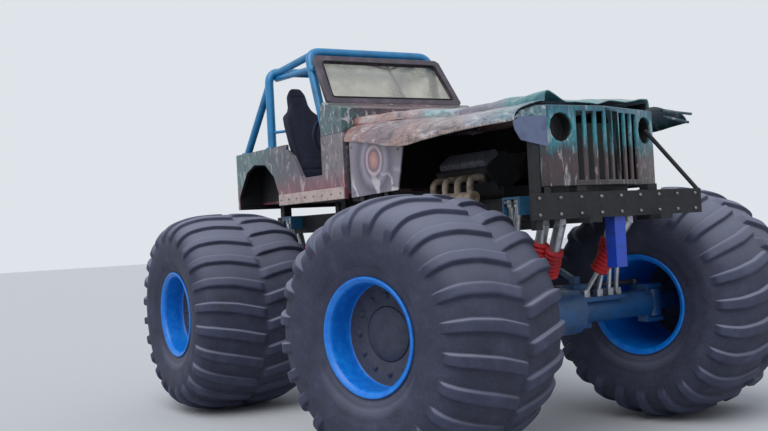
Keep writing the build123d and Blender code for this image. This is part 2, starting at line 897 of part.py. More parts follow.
def cowl():
    """The wall ahead of the cab, the cowl's top with the windscreen's lip, sides and dash."""
    front = behind(tub_front)
    back = behind(door_front)
    inner = half_body - body_wall
    low_front = cowl_top - cowl_front_drop
    wall = block((front - cowl_wall, front), (-inner, inner), (floor_top, tub_top))
    wall += block((front - cowl_wall, front), (-half_body, half_body), (tub_top, low_front))
    top = slab([
        (back, cowl_top - cowl_wall), (front, low_front - cowl_wall), (front, low_front),
        (screen_base[0] + screen_depth, cowl_top), screen_base, screen_heel, (back, cowl_top),
    ], -half_body, half_body)
    cheek = slab([(back, tub_top), (front, tub_top), (front, low_front - cowl_wall),
                  (back, cowl_top - cowl_wall)], inner, half_body)
    dash = block((back, back + dash_depth), (-inner, inner), (cowl_top - dash_height, cowl_top - cowl_wall))
    return wall + top + left_and_right(cheek) + dash


def side_panels():
    """The loose panels ahead of the tub, one a side, behind the front wheels."""
    height = panel_top - sill_height
    outline = [(panel_rear + on * panel_length, sill_height + up * height) for on, up in panel_table]
    return left_and_right(slab(outline, half_body - panel_thickness, half_body))


nodes["cowl"] = cowl()
nodes["side_panels"] = side_panels()


def screen_face(inset, setback=0):
    """The windscreen's tapered outline, moved in by inset, with rounded corners."""
    low = screen_base_width / 2 - inset
    high = screen_top_width / 2 - inset
    top = screen_length - inset
    face = make_face(Polyline((-low, inset), (low, inset), (high, top), (-high, top), close=True))
    return screen_plane.offset(-setback) * chamfer(face.vertices(), screen_corner_radius / 2)


nodes["windscreen_frame"] = (
    extrude(screen_face(0), -screen_depth) - extrude(screen_face(screen_bar), -screen_depth)
)
nodes["windscreen_glass"] = extrude(screen_face(screen_bar - glass_lap, screen_depth), -glass_thickness)


def sheet_face(plane, outline):
    """A thin sheet's section: the outline given by its upper points, thickened downwards."""
    lower = [(y, z - sheet) for y, z in outline[::-1]]
    return plane * make_face(Polyline(*outline, *lower, close=True))


def section_plane(x, skew=0):
    """A cross-section plane of the truck at x, turned about the vertical by skew degrees."""
    angle = math.radians(skew)
    return Plane(origin=(x, 0, 0), x_dir=(-math.sin(angle), math.cos(angle), 0),
                 z_dir=(math.cos(angle), math.sin(angle), 0))


def bonnet_edge(x):
    """Height of the bonnet's edge: level at the rear, lower towards the nose."""
    run = (x - behind(tub_front)) / (ahead(nose_front) - behind(tub_front))
    return bonnet_rear_height - bonnet_front_drop * run - bonnet_mid_drop * math.sin(math.pi * run)


def bonnet_half(x):
    """Half the bonnet's width at x: it narrows evenly to the grille."""
    run = (x - behind(tub_front)) / (ahead(nose_front) - behind(tub_front))
    return (bonnet_width + run * (nose_width - bonnet_width)) / 2


def bonnet():
    """The long bonnet, a crowned sheet with skirts, its nose skewed and dipped by a knock."""
    # x, crown, dip right of the middle, skew
    stations = [
        (behind(tub_front), bonnet_crown, 0, 0),
        (ahead(bonnet_station), bonnet_crown, 0, 0),
        (ahead(nose_front) - nose_width / 2 * math.sin(math.radians(bonnet_skew)), 0.4 * bonnet_crown,
         bonnet_dip, bonnet_skew),
    ]
    faces = []
    for x, crown, dip, skew in stations:
        edge = bonnet_edge(x)
        half = bonnet_half(x)
        outline = [
            (-half, edge - skirt_depth), (-half + sheet, edge - edge_round), (-half + edge_round, edge),
            (-0.4 * half, edge + crown - dip), (0.2 * half, edge + crown - 0.6 * dip),
            (half - edge_round, edge), (half - sheet, edge - edge_round), (half, edge - skirt_depth),
        ]
        faces.append(sheet_face(section_plane(x, skew), outline))
    return loft(faces, ruled=True)


def fender(stations):
    """A fender of sheet through sections given as (x, lip height over the usual, reach)."""
    faces = []
    for x, lift, reach in stations:
        start = max(bonnet_half(x), nose_width / 2)
        top = bonnet_edge(x) - skirt_depth
        low = bonnet_rear_height - fender_drop + lift
        outline = [(start, top), (start + fender_shelf, top - fender_fall),
                   (reach - lip_round, low + lip_depth), (reach, low)]
        faces.append(sheet_face(section_plane(x), outline))
    return loft(faces, ruled=True)


half_fender = fender_width / 2
# Fender sections: x, height of the lip over the usual, reach to the side
right_stations = [
    (behind(fender_rear), -30, half_fender - 60),
    (ahead(bonnet_station), -10, half_fender),
    (ahead(frame_front), 0, half_fender - 60),
]
left_stations = right_stations[:2] + [(ahead(frame_front - 200), 20, half_fender + 10)]

# Front wall of the right fender, as (distance from the middle, height over the lip)
flap_outline = [(grille_width / 2 + part_gap, 90), (640, 85), (760, 50), (half_fender - 60, 5),
                (half_fender - 40, -25), (half_fender - 100, -120), (grille_width / 2 + part_gap, -165)]
# Torn strips at the left fender's end: from and to, as (behind the nose, side, height over the lip)
strip_table = [
    ((205, 640, 95), (150, half_fender, 70)),
    ((215, 650, 60), (170, half_fender - 10, 15)),
]


def right_fender():
    """The right fender with its front wall beside the grille."""
    nose = ahead(frame_front)
    low = bonnet_rear_height - fender_drop
    across = Plane(origin=(nose, 0, 0), x_dir=(0, 1, 0), z_dir=(1, 0, 0))
    outline = [(y, low + rise) for y, rise in flap_outline]
    return fender(right_stations) + extrude(across * make_face(Polyline(*outline, close=True)), sheet)


def left_fender():
    """The left fender, torn off short and bent up, with two strips of its lip left."""
    low = bonnet_rear_height - fender_drop
    torn = fender(left_stations)
    for start, end in strip_table:
        from_point = (ahead(frame_front - start[0]), start[1], low + start[2])
        torn += bar(from_point, (ahead(frame_front - end[0]), end[1], low + end[2]), sheet)
    return torn


nodes["bonnet"] = bonnet()
nodes["fender_right"] = mirror(right_fender(), about=Plane.XZ)
nodes["fender_left"] = left_fender()


def grille_flat():
    """The grille shell before it was bent: a slotted plate with flanges turned back."""
    face = ahead(nose_front)
    half = grille_width / 2
    plate = block((face, face + grille_thickness), (-half, half), (grille_bottom, grille_top))
    for low, high in ((-half, -half + sheet), (half - sheet, half)):
        plate += block((face - grille_flange, face), (low, high), (grille_bottom, grille_top))
    for low, high in ((grille_bottom, grille_bottom + sheet), (grille_top - sheet, grille_top)):
        plate += block((face - grille_flange, face), (-half, half), (low, high))
    first = -(grille_slots - 1) / 2 * slot_pitch
    for i in range(grille_slots):
        y = first + slot_pitch * i
        top = grille_top - slot_margin
        plate -= block((face, face + grille_thickness), (y - slot_width / 2, y + slot_width / 2),
                       (grille_bottom + slot_margin, top))
    for s in (-1, 1):
        plate -= bar((face, s * lamp_spacing / 2, lamp_height),
                     (face + grille_thickness, s * lamp_spacing / 2, lamp_height), lamp_radius)
    return plate


def folded(shape):
    """The shape with its left part pushed back about the upright fold line."""
    face = ahead(nose_front)
    big = 2 * grille_width
    left_half = block((face - big, face + big), (-fold_side, big), (0, 2 * tub_top))
    line = Pos(face + grille_thickness, -fold_side, 0)
    turned = line * Rot(0, 0, fold_angle) * line.inverse() * (shape & left_half)
    return (shape - left_half) + turned


def lamp_buckets():
    """Two empty lamp buckets behind the grille's round openings."""
    face = ahead(nose_front)
    y = lamp_spacing / 2
    bucket = bar((face - lamp_depth, y, lamp_height), (face, y, lamp_height), lamp_radius + lamp_wall)
    bucket -= bar((face - lamp_depth + lamp_wall, y, lamp_height), (face, y, lamp_height), lamp_radius)
    return left_and_right(bucket)


nodes["grille"] = folded(grille_flat())
nodes["lamp_buckets"] = folded(lamp_buckets())


def roll_cage():
    """The tube cage: main hoop on foot plates, front hoop, roof rails and rear braces."""
    side = half_body - cage_radius
    low = tub_top + foot_plate
    back = behind(hoop_back)
    fore = behind(front_hoop_back)
    cage = pipe([(back, -side, low), (back, -side, hoop_top), (back, side, hoop_top),
                 (back, side, low)], cage_radius, hoop_bend)
    foot = (fore + 0.6 * front_hoop_lean, front_hoop_foot_side, floor_top)
    corner_side = screen_top_width / 2 - hoop_corner_inset
    corner = (fore - 0.4 * front_hoop_lean, corner_side, front_hoop_top)
    leg_end = foot[2] + foot_block_height - foot_plate
    cage += pipe([(foot[0], -foot[1], leg_end), (corner[0], -corner[1], corner[2]), corner,
                  (foot[0], foot[1], leg_end)], cage_radius, hoop_bend)
    half = 1.4 * cage_radius
    rail_start = (back, side - roof_rail_inset, hoop_top - roof_rail_drop)
    rail_end = (corner[0], corner_side - roof_rail_inset, front_hoop_top - roof_rail_drop / 2)
    brace_foot = (behind(brace_base_back), side, low - foot_plate)
    extras = [
        block((foot[0] - half, foot[0] + half), (foot[1] - half, foot[1] + half),
              (foot[2], foot[2] + foot_block_height)),
        block((back - half, back + half), (side - cage_radius, half_body), (tub_top, low)),
        block((brace_foot[0] - half, brace_foot[0] + half), (side - cage_radius, half_body), (tub_top, low)),
        bar(rail_start, rail_end, 0.85 * cage_radius),
        bar((brace_foot[0], side, low - foot_plate), (back, side, hoop_top - brace_drop), 0.9 * cage_radius),
    ]
    lower_rail = bar(
        (back, side - 2 * cage_radius, hoop_top - lower_rail_drop),
        (screen_base[0], screen_top_width / 2 - lower_rail_gap, hoop_top - lower_rail_drop - lower_rail_fall),
        0.7 * cage_radius,
    )
    beyond = screen_plane.offset(-screen_depth) * Rectangle(2 * body_width, 4 * screen_length)
    in_front = extrude(beyond, body_width)
    below = block((behind(tub_tail), back), (0, body_width), (0, tub_top))
    return cage + left_and_right(Part() + extras - below + (lower_rail - in_front))


nodes["roll_cage"] = roll_cage()


def seat():
    """A narrow high-backed racing seat with a tall headrest, on the truck's right."""
    back = behind(seat_back)
    half = seat_width / 2
    top = floor_top + seat_cushion_height
    base = block((back, behind(seat_front)), (-half, half), (floor_top, top))
    lean = math.tan(math.radians(seat_recline))
    shoulder = top + seat_back_height
    crown = shoulder + head_height

    def back_x(z):
        return back - lean * (z - top)

    neck = back_x(shoulder)
    tip = back_x(crown)
    thick = seat_thickness
    shell = slab([(back, top), (back + thick, top), (neck + thick, shoulder), (neck, shoulder)], -half, half)
    head = slab([(neck, shoulder), (neck + thick, shoulder), (tip + thick, crown), (tip, crown)],
                -head_width / 2, head_width / 2)
    return Pos(0, -seat_side, 0) * (base + shell + head)


def steering_wheel():
    """The column and its many-sided wheel, ahead of the seat."""
    dash_back = behind(door_front)
    hub_point = Vector(dash_back - wheel_setback, -seat_side, wheel_height)
    dash_point = Vector(dash_back - column_gap, -seat_side, wheel_height - column_rise)
    column = bar(dash_point, hub_point, column_radius)
    plane = Plane(origin=hub_point, z_dir=dash_point - hub_point)
    inner = steering_wheel_radius - steering_wheel_rim
    ring = plane * (RegularPolygon(steering_wheel_radius, barrel_sides) - RegularPolygon(inner, barrel_sides))
    spoke = plane * Box(2 * inner, steering_wheel_rim, steering_wheel_rim / 2)
    half = column_box / 2
    end = block((dash_back - column_box_depth, dash_back), (-seat_side - half, -seat_side + half),
                (dash_point.Z - half, dash_point.Z + half))
    return column + extrude(ring, steering_wheel_rim) + spoke + end


nodes["seat"] = seat()
nodes["steering_wheel"] = steering_wheel()

os.makedirs("parts", exist_ok=True)
for name, shape in nodes.items():
    export_step(shape, f"parts/{name}.step")
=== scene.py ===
"""Looks of a monster truck with an open four-by-four body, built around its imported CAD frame."""

import functools
import json
import math

import bmesh
import bpy
import numpy as np
from mathutils import Matrix, Vector

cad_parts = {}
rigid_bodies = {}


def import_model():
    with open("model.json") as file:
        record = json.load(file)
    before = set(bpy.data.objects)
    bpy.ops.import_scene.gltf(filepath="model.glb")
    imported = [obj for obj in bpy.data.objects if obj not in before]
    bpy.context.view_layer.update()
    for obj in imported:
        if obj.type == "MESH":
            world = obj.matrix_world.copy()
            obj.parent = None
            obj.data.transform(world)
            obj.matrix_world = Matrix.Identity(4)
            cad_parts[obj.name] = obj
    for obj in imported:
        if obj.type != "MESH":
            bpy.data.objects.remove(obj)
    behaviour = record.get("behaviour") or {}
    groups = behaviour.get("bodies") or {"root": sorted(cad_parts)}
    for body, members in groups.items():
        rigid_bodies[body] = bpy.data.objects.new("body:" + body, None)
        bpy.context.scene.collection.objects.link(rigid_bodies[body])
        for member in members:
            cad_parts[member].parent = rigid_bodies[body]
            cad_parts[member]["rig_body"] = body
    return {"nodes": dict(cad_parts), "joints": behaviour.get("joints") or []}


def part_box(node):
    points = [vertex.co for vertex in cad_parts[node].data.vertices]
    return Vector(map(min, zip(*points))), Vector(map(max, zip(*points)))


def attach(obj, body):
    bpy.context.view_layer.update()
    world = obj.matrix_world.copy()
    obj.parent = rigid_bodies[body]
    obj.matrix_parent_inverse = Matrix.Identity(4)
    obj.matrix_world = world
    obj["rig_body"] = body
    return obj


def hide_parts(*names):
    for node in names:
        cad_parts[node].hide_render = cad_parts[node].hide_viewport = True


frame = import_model()
nodes = frame["nodes"]
joints = {joint["name"]: joint for joint in frame["joints"]}
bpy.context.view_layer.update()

# The camera stands a little ahead of the right front wheel, at the height of a person's chest,
# rolled by three degrees. Its focal length was fitted to the wheels, windscreen and tub.
camera_place = Vector((6.878, -4.6125, 1.4632))
camera_right = Vector((0.51495, 0.85562, -0.05232))
camera_down = Vector((-0.03872, -0.03775, -0.99854))
camera_ahead = Vector((-0.85635, 0.51622, 0.01369))
focal_pixels = 1029.81
picture_width = 768
sensor_width = 36

camera_data = bpy.data.cameras.new("camera")
camera_data.sensor_width = sensor_width
camera_data.lens = focal_pixels * sensor_width / picture_width
camera_data.clip_end = 200
camera = bpy.data.objects.new("camera", camera_data)
turn = Matrix((camera_right, -camera_down, -camera_ahead)).transposed()
camera.matrix_world = Matrix.Translation(camera_place) @ turn.to_4x4()
bpy.context.collection.objects.link(camera)
bpy.context.scene.camera = camera
bpy.context.scene.view_settings.view_transform = "Standard"


# The studio is a plain pale floor under an overcast white dome, with one wide soft lamp from
# above and behind the camera's left shoulder, so the undersides stay dark as on a dull day.
def hex_colour(code):
    """A colour written as sRGB hex, turned to the linear values that Blender mixes."""
    channels = [int(code[i:i + 2], 16) / 255 for i in (1, 3, 5)]
    linear = [c / 12.92 if c <= 0.04045 else ((c + 0.055) / 1.055) ** 2.4 for c in channels]
    return (*linear, 1.0)


def plug(node, *values, **named):
    """Fill a node's sockets: values go to its open sockets in order, the rest by name. Each is a
    number, a colour as sRGB hex, another node's output, or a node for its first open output."""
    sockets = [socket for socket in node.inputs if socket.enabled][:len(values)]
    sockets += [node.inputs[name.replace("_", " ")] for name in named]
    for socket, value in zip(sockets, (*values, *named.values())):
        if isinstance(value, str):
            value = hex_colour(value)
        if isinstance(value, bpy.types.Node):
            value = next(output for output in value.outputs if output.enabled)
        if isinstance(value, bpy.types.NodeSocket):
            node.id_data.links.new(value, socket)
        else:
            socket.default_value = value


def add_node(tree, kind, *values, stops=(), **named):
    """Add one shader node. Names in lower case are its own settings, stops fill a colour ramp,
    and all else goes to its sockets."""
    node = tree.nodes.new("ShaderNode" + kind)
    for name in filter(str.islower, list(named)):
        setattr(node, name, named.pop(name))
    for spot, (position, code) in enumerate(stops):
        ramp = node.color_ramp.elements
        element = ramp[spot] if spot < 2 else ramp.new(position)
        element.position = position
        element.color = hex_colour(code)
    plug(node, *values, **named)
    return node


def new_finish(name):
    """A new material, add_node bound to its tree, and its main shader."""
    material = bpy.data.materials.new(name)
    material.use_nodes = True
    tree = material.node_tree
    return material, functools.partial(add_node, tree), tree.nodes["Principled BSDF"]


floor_half = 60
floor_mesh = bpy.data.meshes.new("studio_floor")
floor_mesh.from_pydata([(x * floor_half, y * floor_half, 0) for x, y in
                        ((-1, -1), (1, -1), (1, 1), (-1, 1))], [], [(0, 1, 2, 3)])
studio_floor = bpy.data.objects.new("studio_floor", floor_mesh)
bpy.context.collection.objects.link(studio_floor)
# Matt painted concrete: even, pale and without gloss
matt_floor, _, floor_shader = new_finish("matt_floor_paint")
plug(floor_shader, Base_Color="#bfc2c6", Roughness=0.9)
floor_mesh.materials.append(matt_floor)

sky_light = 0.66
world = bpy.data.worlds.new("overcast_dome")
bpy.context.scene.world = world
world.use_nodes = True
dome = world.node_tree
dome.nodes.clear()
ray = add_node(dome, "LightPath").outputs
seen = add_node(dome, "Math", ray["Is Camera Ray"], ray["Is Glossy Ray"], operation="MAXIMUM")
shown = add_node(dome, "Math", seen, ray["Is Transmission Ray"], operation="MAXIMUM")
daylight = add_node(dome, "Background", "#eef2fa", sky_light)
backdrop = add_node(dome, "Background", "#dfe4ea", 1)
add_node(dome, "OutputWorld", add_node(dome, "MixShader", shown, daylight, backdrop))

lamp_data = bpy.data.lights.new("soft_lamp", "SUN")
lamp_data.energy = 1.8
lamp_data.angle = math.radians(50)
soft_lamp = bpy.data.objects.new("soft_lamp", lamp_data)
soft_lamp.rotation_euler = (math.radians(28), math.radians(24), 0)
bpy.context.collection.objects.link(soft_lamp)


# The frame is welded box section in satin black, and most of the running gear is sprayed in
# enamel over it. All of it has the dust and oil film of a truck that works in dirt.
def noise_scale(patch_mm):
    """The scale of a noise texture whose blotches are about this many millimetres wide."""
    return 1000 / patch_mm


def facing_up(add, start, least, most):
    """How far a face looks up: from least, where its normal's height is start, to most."""
    facing = add("SeparateXYZ", add("NewGeometry").outputs["Normal"])
    return add("MapRange", facing.outputs["Z"], start, 1, least, most)


def dusty_enamel(name, paint, worn, dust, roughness=0.35, coat=0.3, patch_mm=90, dust_share=0.5,
                 metallic=0):
    """Sprayed enamel: even colour with worn blotches, dust on what faces up and in a fine film."""
    material, add, shader = new_finish(name)
    place = add("TexCoord").outputs["Object"]
    blotch = add("TexNoise", place, Scale=noise_scale(patch_mm), Detail=6, Roughness=0.65)
    wear = add("MapRange", blotch, 0.48, 0.7)
    base = add("Mix", wear, paint, worn, data_type="RGBA")
    upward = facing_up(add, -0.2, 0.12, 1)
    film = add("TexNoise", place, Scale=noise_scale(25), Detail=8, Roughness=0.7)
    cover = add("Math", upward, film, operation="MULTIPLY")
    share = add("Math", cover, dust_share, operation="MULTIPLY")
    skin = add("Mix", share, base, dust, data_type="RGBA")
    rough = add("MapRange", film, 0.3, 0.75, roughness, min(roughness + 0.35, 1))
    grain = add("Bump", Height=film, Strength=0.12, Distance=0.002)
    plug(shader, Base_Color=skin, Roughness=rough, Normal=grain, Metallic=metallic,
         Coat_Weight=coat, Coat_Roughness=0.25)
    return material


def add_piece(mesh, material, replaced=(), body="chassis"):
    """Put a finished mesh in the scene, riding on its body and standing for its CAD nodes."""
    piece = bpy.data.objects.new(mesh.name, mesh)
    bpy.context.collection.objects.link(piece)
    if not mesh.materials:
        mesh.materials.append(material)
    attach(piece, body)
    if replaced:
        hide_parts(*replaced)
    return piece


gentle_angle = math.radians(50)


def eased_copy(node, material, edge_mm=3, round_mm=0):
    """A CAD solid with its facets joined, its sharp edges rounded and gentle corners smooth. The
    gentle corners of cut-outs in its side walls can be rounded in the wall's plane by round_mm."""
    shell = bmesh.new()
    shell.from_mesh(nodes[node].data)
    bmesh.ops.remove_doubles(shell, verts=shell.verts, dist=2e-5)
    bmesh.ops.dissolve_limit(shell, angle_limit=math.radians(0.5), verts=shell.verts,
                             edges=shell.edges)
    if round_mm:
        across = [edge for edge in shell.edges
                  if abs((edge.verts[0].co - edge.verts[1].co).normalized().y) > 0.99]
        bends = [edge for edge in across if 8 < math.degrees(edge.calc_face_angle(0)) < 60]
        bmesh.ops.bevel(shell, geom=bends, offset=round_mm / 1000, segments=5, profile=0.5,
                        affect="EDGES", clamp_overlap=True)
        shell.verts.index_update()
    corners = [vertex.co[:] for vertex in shell.verts]
    faces = [[vertex.index for vertex in face.verts] for face in shell.faces]
    shell.free()
    mesh = bpy.data.meshes.new(node + "_skin")
    mesh.from_pydata(corners, [], faces)
    mesh.shade_smooth()
    mesh.set_sharp_from_angle(angle=gentle_angle)
    piece = add_piece(mesh, material, [node], nodes[node]["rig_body"])
    if edge_mm:
        easing = piece.modifiers.new("eased_edges", "BEVEL")
        easing.width = edge_mm / 1000
        easing.segments = 2
        easing.limit_method = "ANGLE"
        easing.angle_limit = gentle_angle
    return piece


# Satin black chassis enamel: near black, greyed by dust on its upper faces
black_enamel = dusty_enamel("satin_black_chassis_enamel", "#0d0e13", "#191a20", "#56555a",
                            roughness=0.6, coat=0.1, dust_share=0.3)
# Teal-blue enamel on axles, links and knuckles: strong colour under brown road film
teal_enamel = dusty_enamel("teal_blue_axle_enamel", "#0a4f86", "#173c5c", "#5f646e")
# Royal-blue enamel on the one upright in the nose: clean, saturated and glossy
royal_enamel = dusty_enamel("royal_blue_enamel", "#0b3fb4", "#0a3287", "#5a6a8c",
                            roughness=0.25, dust_share=0.25)
# Polished chrome rods under a film of dust: bright streaks with grey patches
chrome_rods = dusty_enamel("dusty_chrome_rod", "#c9cdd2", "#8e9195", "#7b766e",
                           roughness=0.28, coat=0, dust_share=0.4, metallic=0.85)
# Turned steel of shafts and tie rods: dull grey with rust-brown stain
dull_steel = dusty_enamel("oily_turned_steel", "#6f7073", "#5a4a40", "#6d6963",
                          roughness=0.38, coat=0, dust_share=0.4, metallic=0.7)
# Cast light alloy of the gearboxes: pale grey, sooty in the hollows
cast_alloy = dusty_enamel("sooty_cast_alloy", "#63656a", "#2c2c2f", "#77726a",
                          roughness=0.5, coat=0, dust_share=0.4)
# Blue-teal brackets on the frame: the cage's paint with more dirt
bracket_enamel = dusty_enamel("teal_bracket_enamel", "#1b5f86", "#123c55", "#6f6f6c",
                              roughness=0.4, dust_share=0.4)

# CAD nodes, material, slot
running_gear = [
    ("frame front_cross_panel body_mounts", black_enamel, "frame"),
    ("front_upright", royal_enamel, "upright"),
    ("shock_mounts_front shock_mounts_rear", bracket_enamel, "bracket"),
    ("links_front links_rear", teal_enamel, "axle"),
    ("shocks_front shocks_rear", chrome_rods, "chrome"),
    ("axle_front axle_rear", teal_enamel, "axle"),
    ("tie_rod_front tie_rod_rear driveshaft_front driveshaft_rear", dull_steel, "steel"),
    ("transmission transfer_case", cast_alloy, "alloy"),
]
for names, material, slot in running_gear:
    for node in names.split():
        eased_copy(node, material)
# The kingpins' flats are drawn in a little, so that they pass their bores' flats as they turn
kingpin_reach, kingpin_share = 0.0225, 0.99
for where in ("front", "rear"):
    for side, joint in (("left", f"steer_{where}_left"), ("right", f"steer_{where}")):
        skin = eased_copy(f"knuckle_{where}_{side}", teal_enamel)
        centre = Vector(joints[joint]["pos_m"]).to_2d()
        for vertex in skin.data.vertices:
            out = vertex.co.to_2d() - centre
            if out.length < kingpin_reach:
                vertex.co.xy = centre + out * kingpin_share


# The shocks' boots are moulded red rubber bellows, slipped over the inner shocks' rods and
# clamped at both ends. Their lines are those of the CAD shocks.
def revolve(centre, basis, outline, columns):
    """A closed outline of (along, radius) points turned about the basis's second axis: each
    point goes round a circle of its own radius at its own distance along the axis."""
    angle = np.linspace(0, 2 * np.pi, columns, endpoint=False)
    along, radius = outline[:, :1] * np.ones(columns), outline[:, 1:]
    local = np.stack([radius * np.sin(angle), along, radius * np.cos(angle)], axis=-1)
    return local @ basis.T + centre


def surface(name, points, round_rows=False, round_columns=False, solid=True):
    """A mesh of four-sided faces over a grid of points, joined round where it closes on itself.
    The faces of a solid are turned outwards."""
    rows, columns = points.shape[:2]
    index = np.arange(rows * columns).reshape(rows, columns)
    if round_rows:
        index = np.vstack([index, index[:1]])
    if round_columns:
        index = np.hstack([index, index[:, :1]])
    faces = np.stack([index[:-1, :-1], index[:-1, 1:], index[1:, 1:], index[1:, :-1]], axis=-1)
    mesh = bpy.data.meshes.new(name)
    mesh.from_pydata(points.reshape(-1, 3), [], faces.reshape(-1, 4))
    if solid:
        turn_outwards(mesh)
    mesh.shade_smooth()
    return mesh


def turn_outwards(mesh):
    """Weld a mesh's doubled points and turn its faces outwards."""
    shell = bmesh.new()
    shell.from_mesh(mesh)
    bmesh.ops.remove_doubles(shell, verts=shell.verts, dist=1e-6)
    bmesh.ops.recalc_face_normals(shell, faces=shell.faces)
    shell.to_mesh(mesh)
    shell.free()


def basis_along(direction):
    """Three axes as columns: the second runs along the direction, the others square to it."""
    second = np.array(direction) / np.linalg.norm(direction)
    helper = (0, 0, 1) if abs(second[2]) < 0.9 else (1, 0, 0)
    first = np.cross(second, helper)
    first /= np.linalg.norm(first)
    return np.stack([first, second, np.cross(first, second)], axis=1)


def joined(name, meshes):
    """Several meshes as one under a new name."""
    whole = bmesh.new()
    for mesh in meshes:
        whole.from_mesh(mesh)
    mesh = bpy.data.meshes.new(name)
    whole.to_mesh(mesh)
    whole.free()
    return mesh


boot_radius, boot_rib, boot_ribs, boot_length = 0.062, 0.013, 7, 0.21
rod_length = 0.19
eye_radius, foot_rise = 0.024, 0.092
rail_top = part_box("frame")[1].z
rail_height = 0.16
shock_low = joints["spin_rear_right"]["pos_m"][2] + foot_rise + eye_radius
shock_high = rail_top - rail_height - eye_radius
# Moulded red rubber: soft sheen on the ribs, pink dust between them
red_rubber = dusty_enamel("moulded_red_rubber", "#c4101f", "#8d0d19", "#a5766f",
                          roughness=0.5, coat=0, dust_share=0.35)
along = np.linspace(0, boot_length, boot_ribs * 8 + 1)
ribs = np.abs(np.sin(np.pi * boot_ribs * along / boot_length))
outline = np.stack([along, boot_radius - boot_rib + boot_rib * ribs], axis=1)
outline = np.vstack([[0, 0], outline, [boot_length, 0]])
# Foot ahead of the axle, foot's side, head ahead of the axle, head's side
booted_shocks = [(0.095, 0.3, 0.28, 0.3), (0.095, 0.182, 0.43, 0.29)]
for where, out in (("front", 1), ("rear", -1)):
    axle_x = joints[f"steer_{where}"]["pos_m"][0]
    bellows = []
    for low_x, low_y, high_x, high_y in booted_shocks:
        for side in (1, -1):
            low = np.array([axle_x + out * low_x, side * low_y, shock_low])
            high = np.array([axle_x + out * high_x, side * high_y, shock_high])
            basis = basis_along(high - low)
            turned = revolve(low + basis[:, 1] * rod_length, basis, outline, 28)
            bellows.append(surface("bellows", turned, round_columns=True))
    add_piece(joined(f"boots_{where}_bellows", bellows), red_rubber, [f"boots_{where}"])


# The wheels are spun steel rims in blue enamel, two-piece with a deep dish; the dark centre
# disc is pressed steel, held on the hub's flange by a ring of studs.
def wheel_place(where, side):
    """A wheel's centre and its axes as columns: forward, outboard and up."""
    joint = joints[f"spin_{where}_{side}"]
    outboard = np.array(joint["axis"]) * (1 if side == "left" else -1)
    up = np.array([0.0, 0.0, 1.0])
    return np.array(joint["pos_m"]), np.stack([np.cross(outboard, up), outboard, up], axis=1)


# Rim section round its metal: distance outboard of the mid-plane, radius
rim_section = np.array([
    (0.486, 0.346), (0.486, 0.354), (0.482, 0.358), (0.474, 0.358), (0.471, 0.353), (0.471, 0.338),
    (0.463, 0.331), (0.44, 0.3295), (0.33, 0.3295), (-0.44, 0.3295), (-0.463, 0.331),
    (-0.471, 0.338), (-0.471, 0.353), (-0.474, 0.358), (-0.482, 0.358), (-0.486, 0.354),
    (-0.486, 0.346), (-0.478, 0.338), (-0.47, 0.322), (-0.455, 0.3165), (0.262, 0.3165),
    (0.27, 0.3145), (0.27, 0.172), (0.274, 0.168), (0.288, 0.168), (0.292, 0.172),
    (0.292, 0.3), (0.296, 0.311), (0.304, 0.3165), (0.34, 0.3165), (0.44, 0.3165),
    (0.462, 0.3185), (0.472, 0.326), (0.478, 0.338),
])
disc_rows = (21, 27)
rim_columns = 96


def rim_enamel():
    """Gloss blue enamel, mottled paler by scuffs that also dull its gloss."""
    material, add, shader = new_finish("gloss_blue_rim_enamel")
    place = add("TexCoord").outputs["Object"]
    scuffs = add("TexNoise", place, Scale=noise_scale(55), Detail=8, Roughness=0.7)
    fade = add("ValToRGB", scuffs, stops=[(0.3, "#0060c4"), (0.55, "#0078d8"), (0.8, "#1c93dc")])
    rough = add("MapRange", scuffs, 0.3, 0.8, 0.28, 0.6)
    plug(shader, Base_Color=fade, Roughness=rough, Coat_Weight=0.15, Coat_Roughness=0.3)
    return material


blue_enamel = rim_enamel()
# Dark grey-blue on the centre disc and hub, deep in the dish: matt, with road dust
disc_enamel = dusty_enamel("dark_disc_enamel", "#363a4a", "#2a2d38", "#666a78",
                           roughness=0.6, coat=0, dust_share=0.35)
stud_count, stud_ring, disc_face = 12, 0.232, 0.292
# A bolt head on its washer: distance outward and radius, as shares of the head's radius
head_section = np.array([
    (0, 0), (0, 1.3), (0.15, 1.3), (0.15, 1), (0.75, 1), (0.85, 0.8), (0.85, 0)])


def bolt_heads(name, places, outward, radius, material, body="chassis"):
    """Hexagon heads on thin washers, one at each place and all facing outward, as one mesh."""
    basis = basis_along(outward)
    heads = [surface("head", revolve(place, basis, head_section * radius, 6), round_columns=True)
             for place in places]
    add_piece(joined(name, heads), material, body=body)


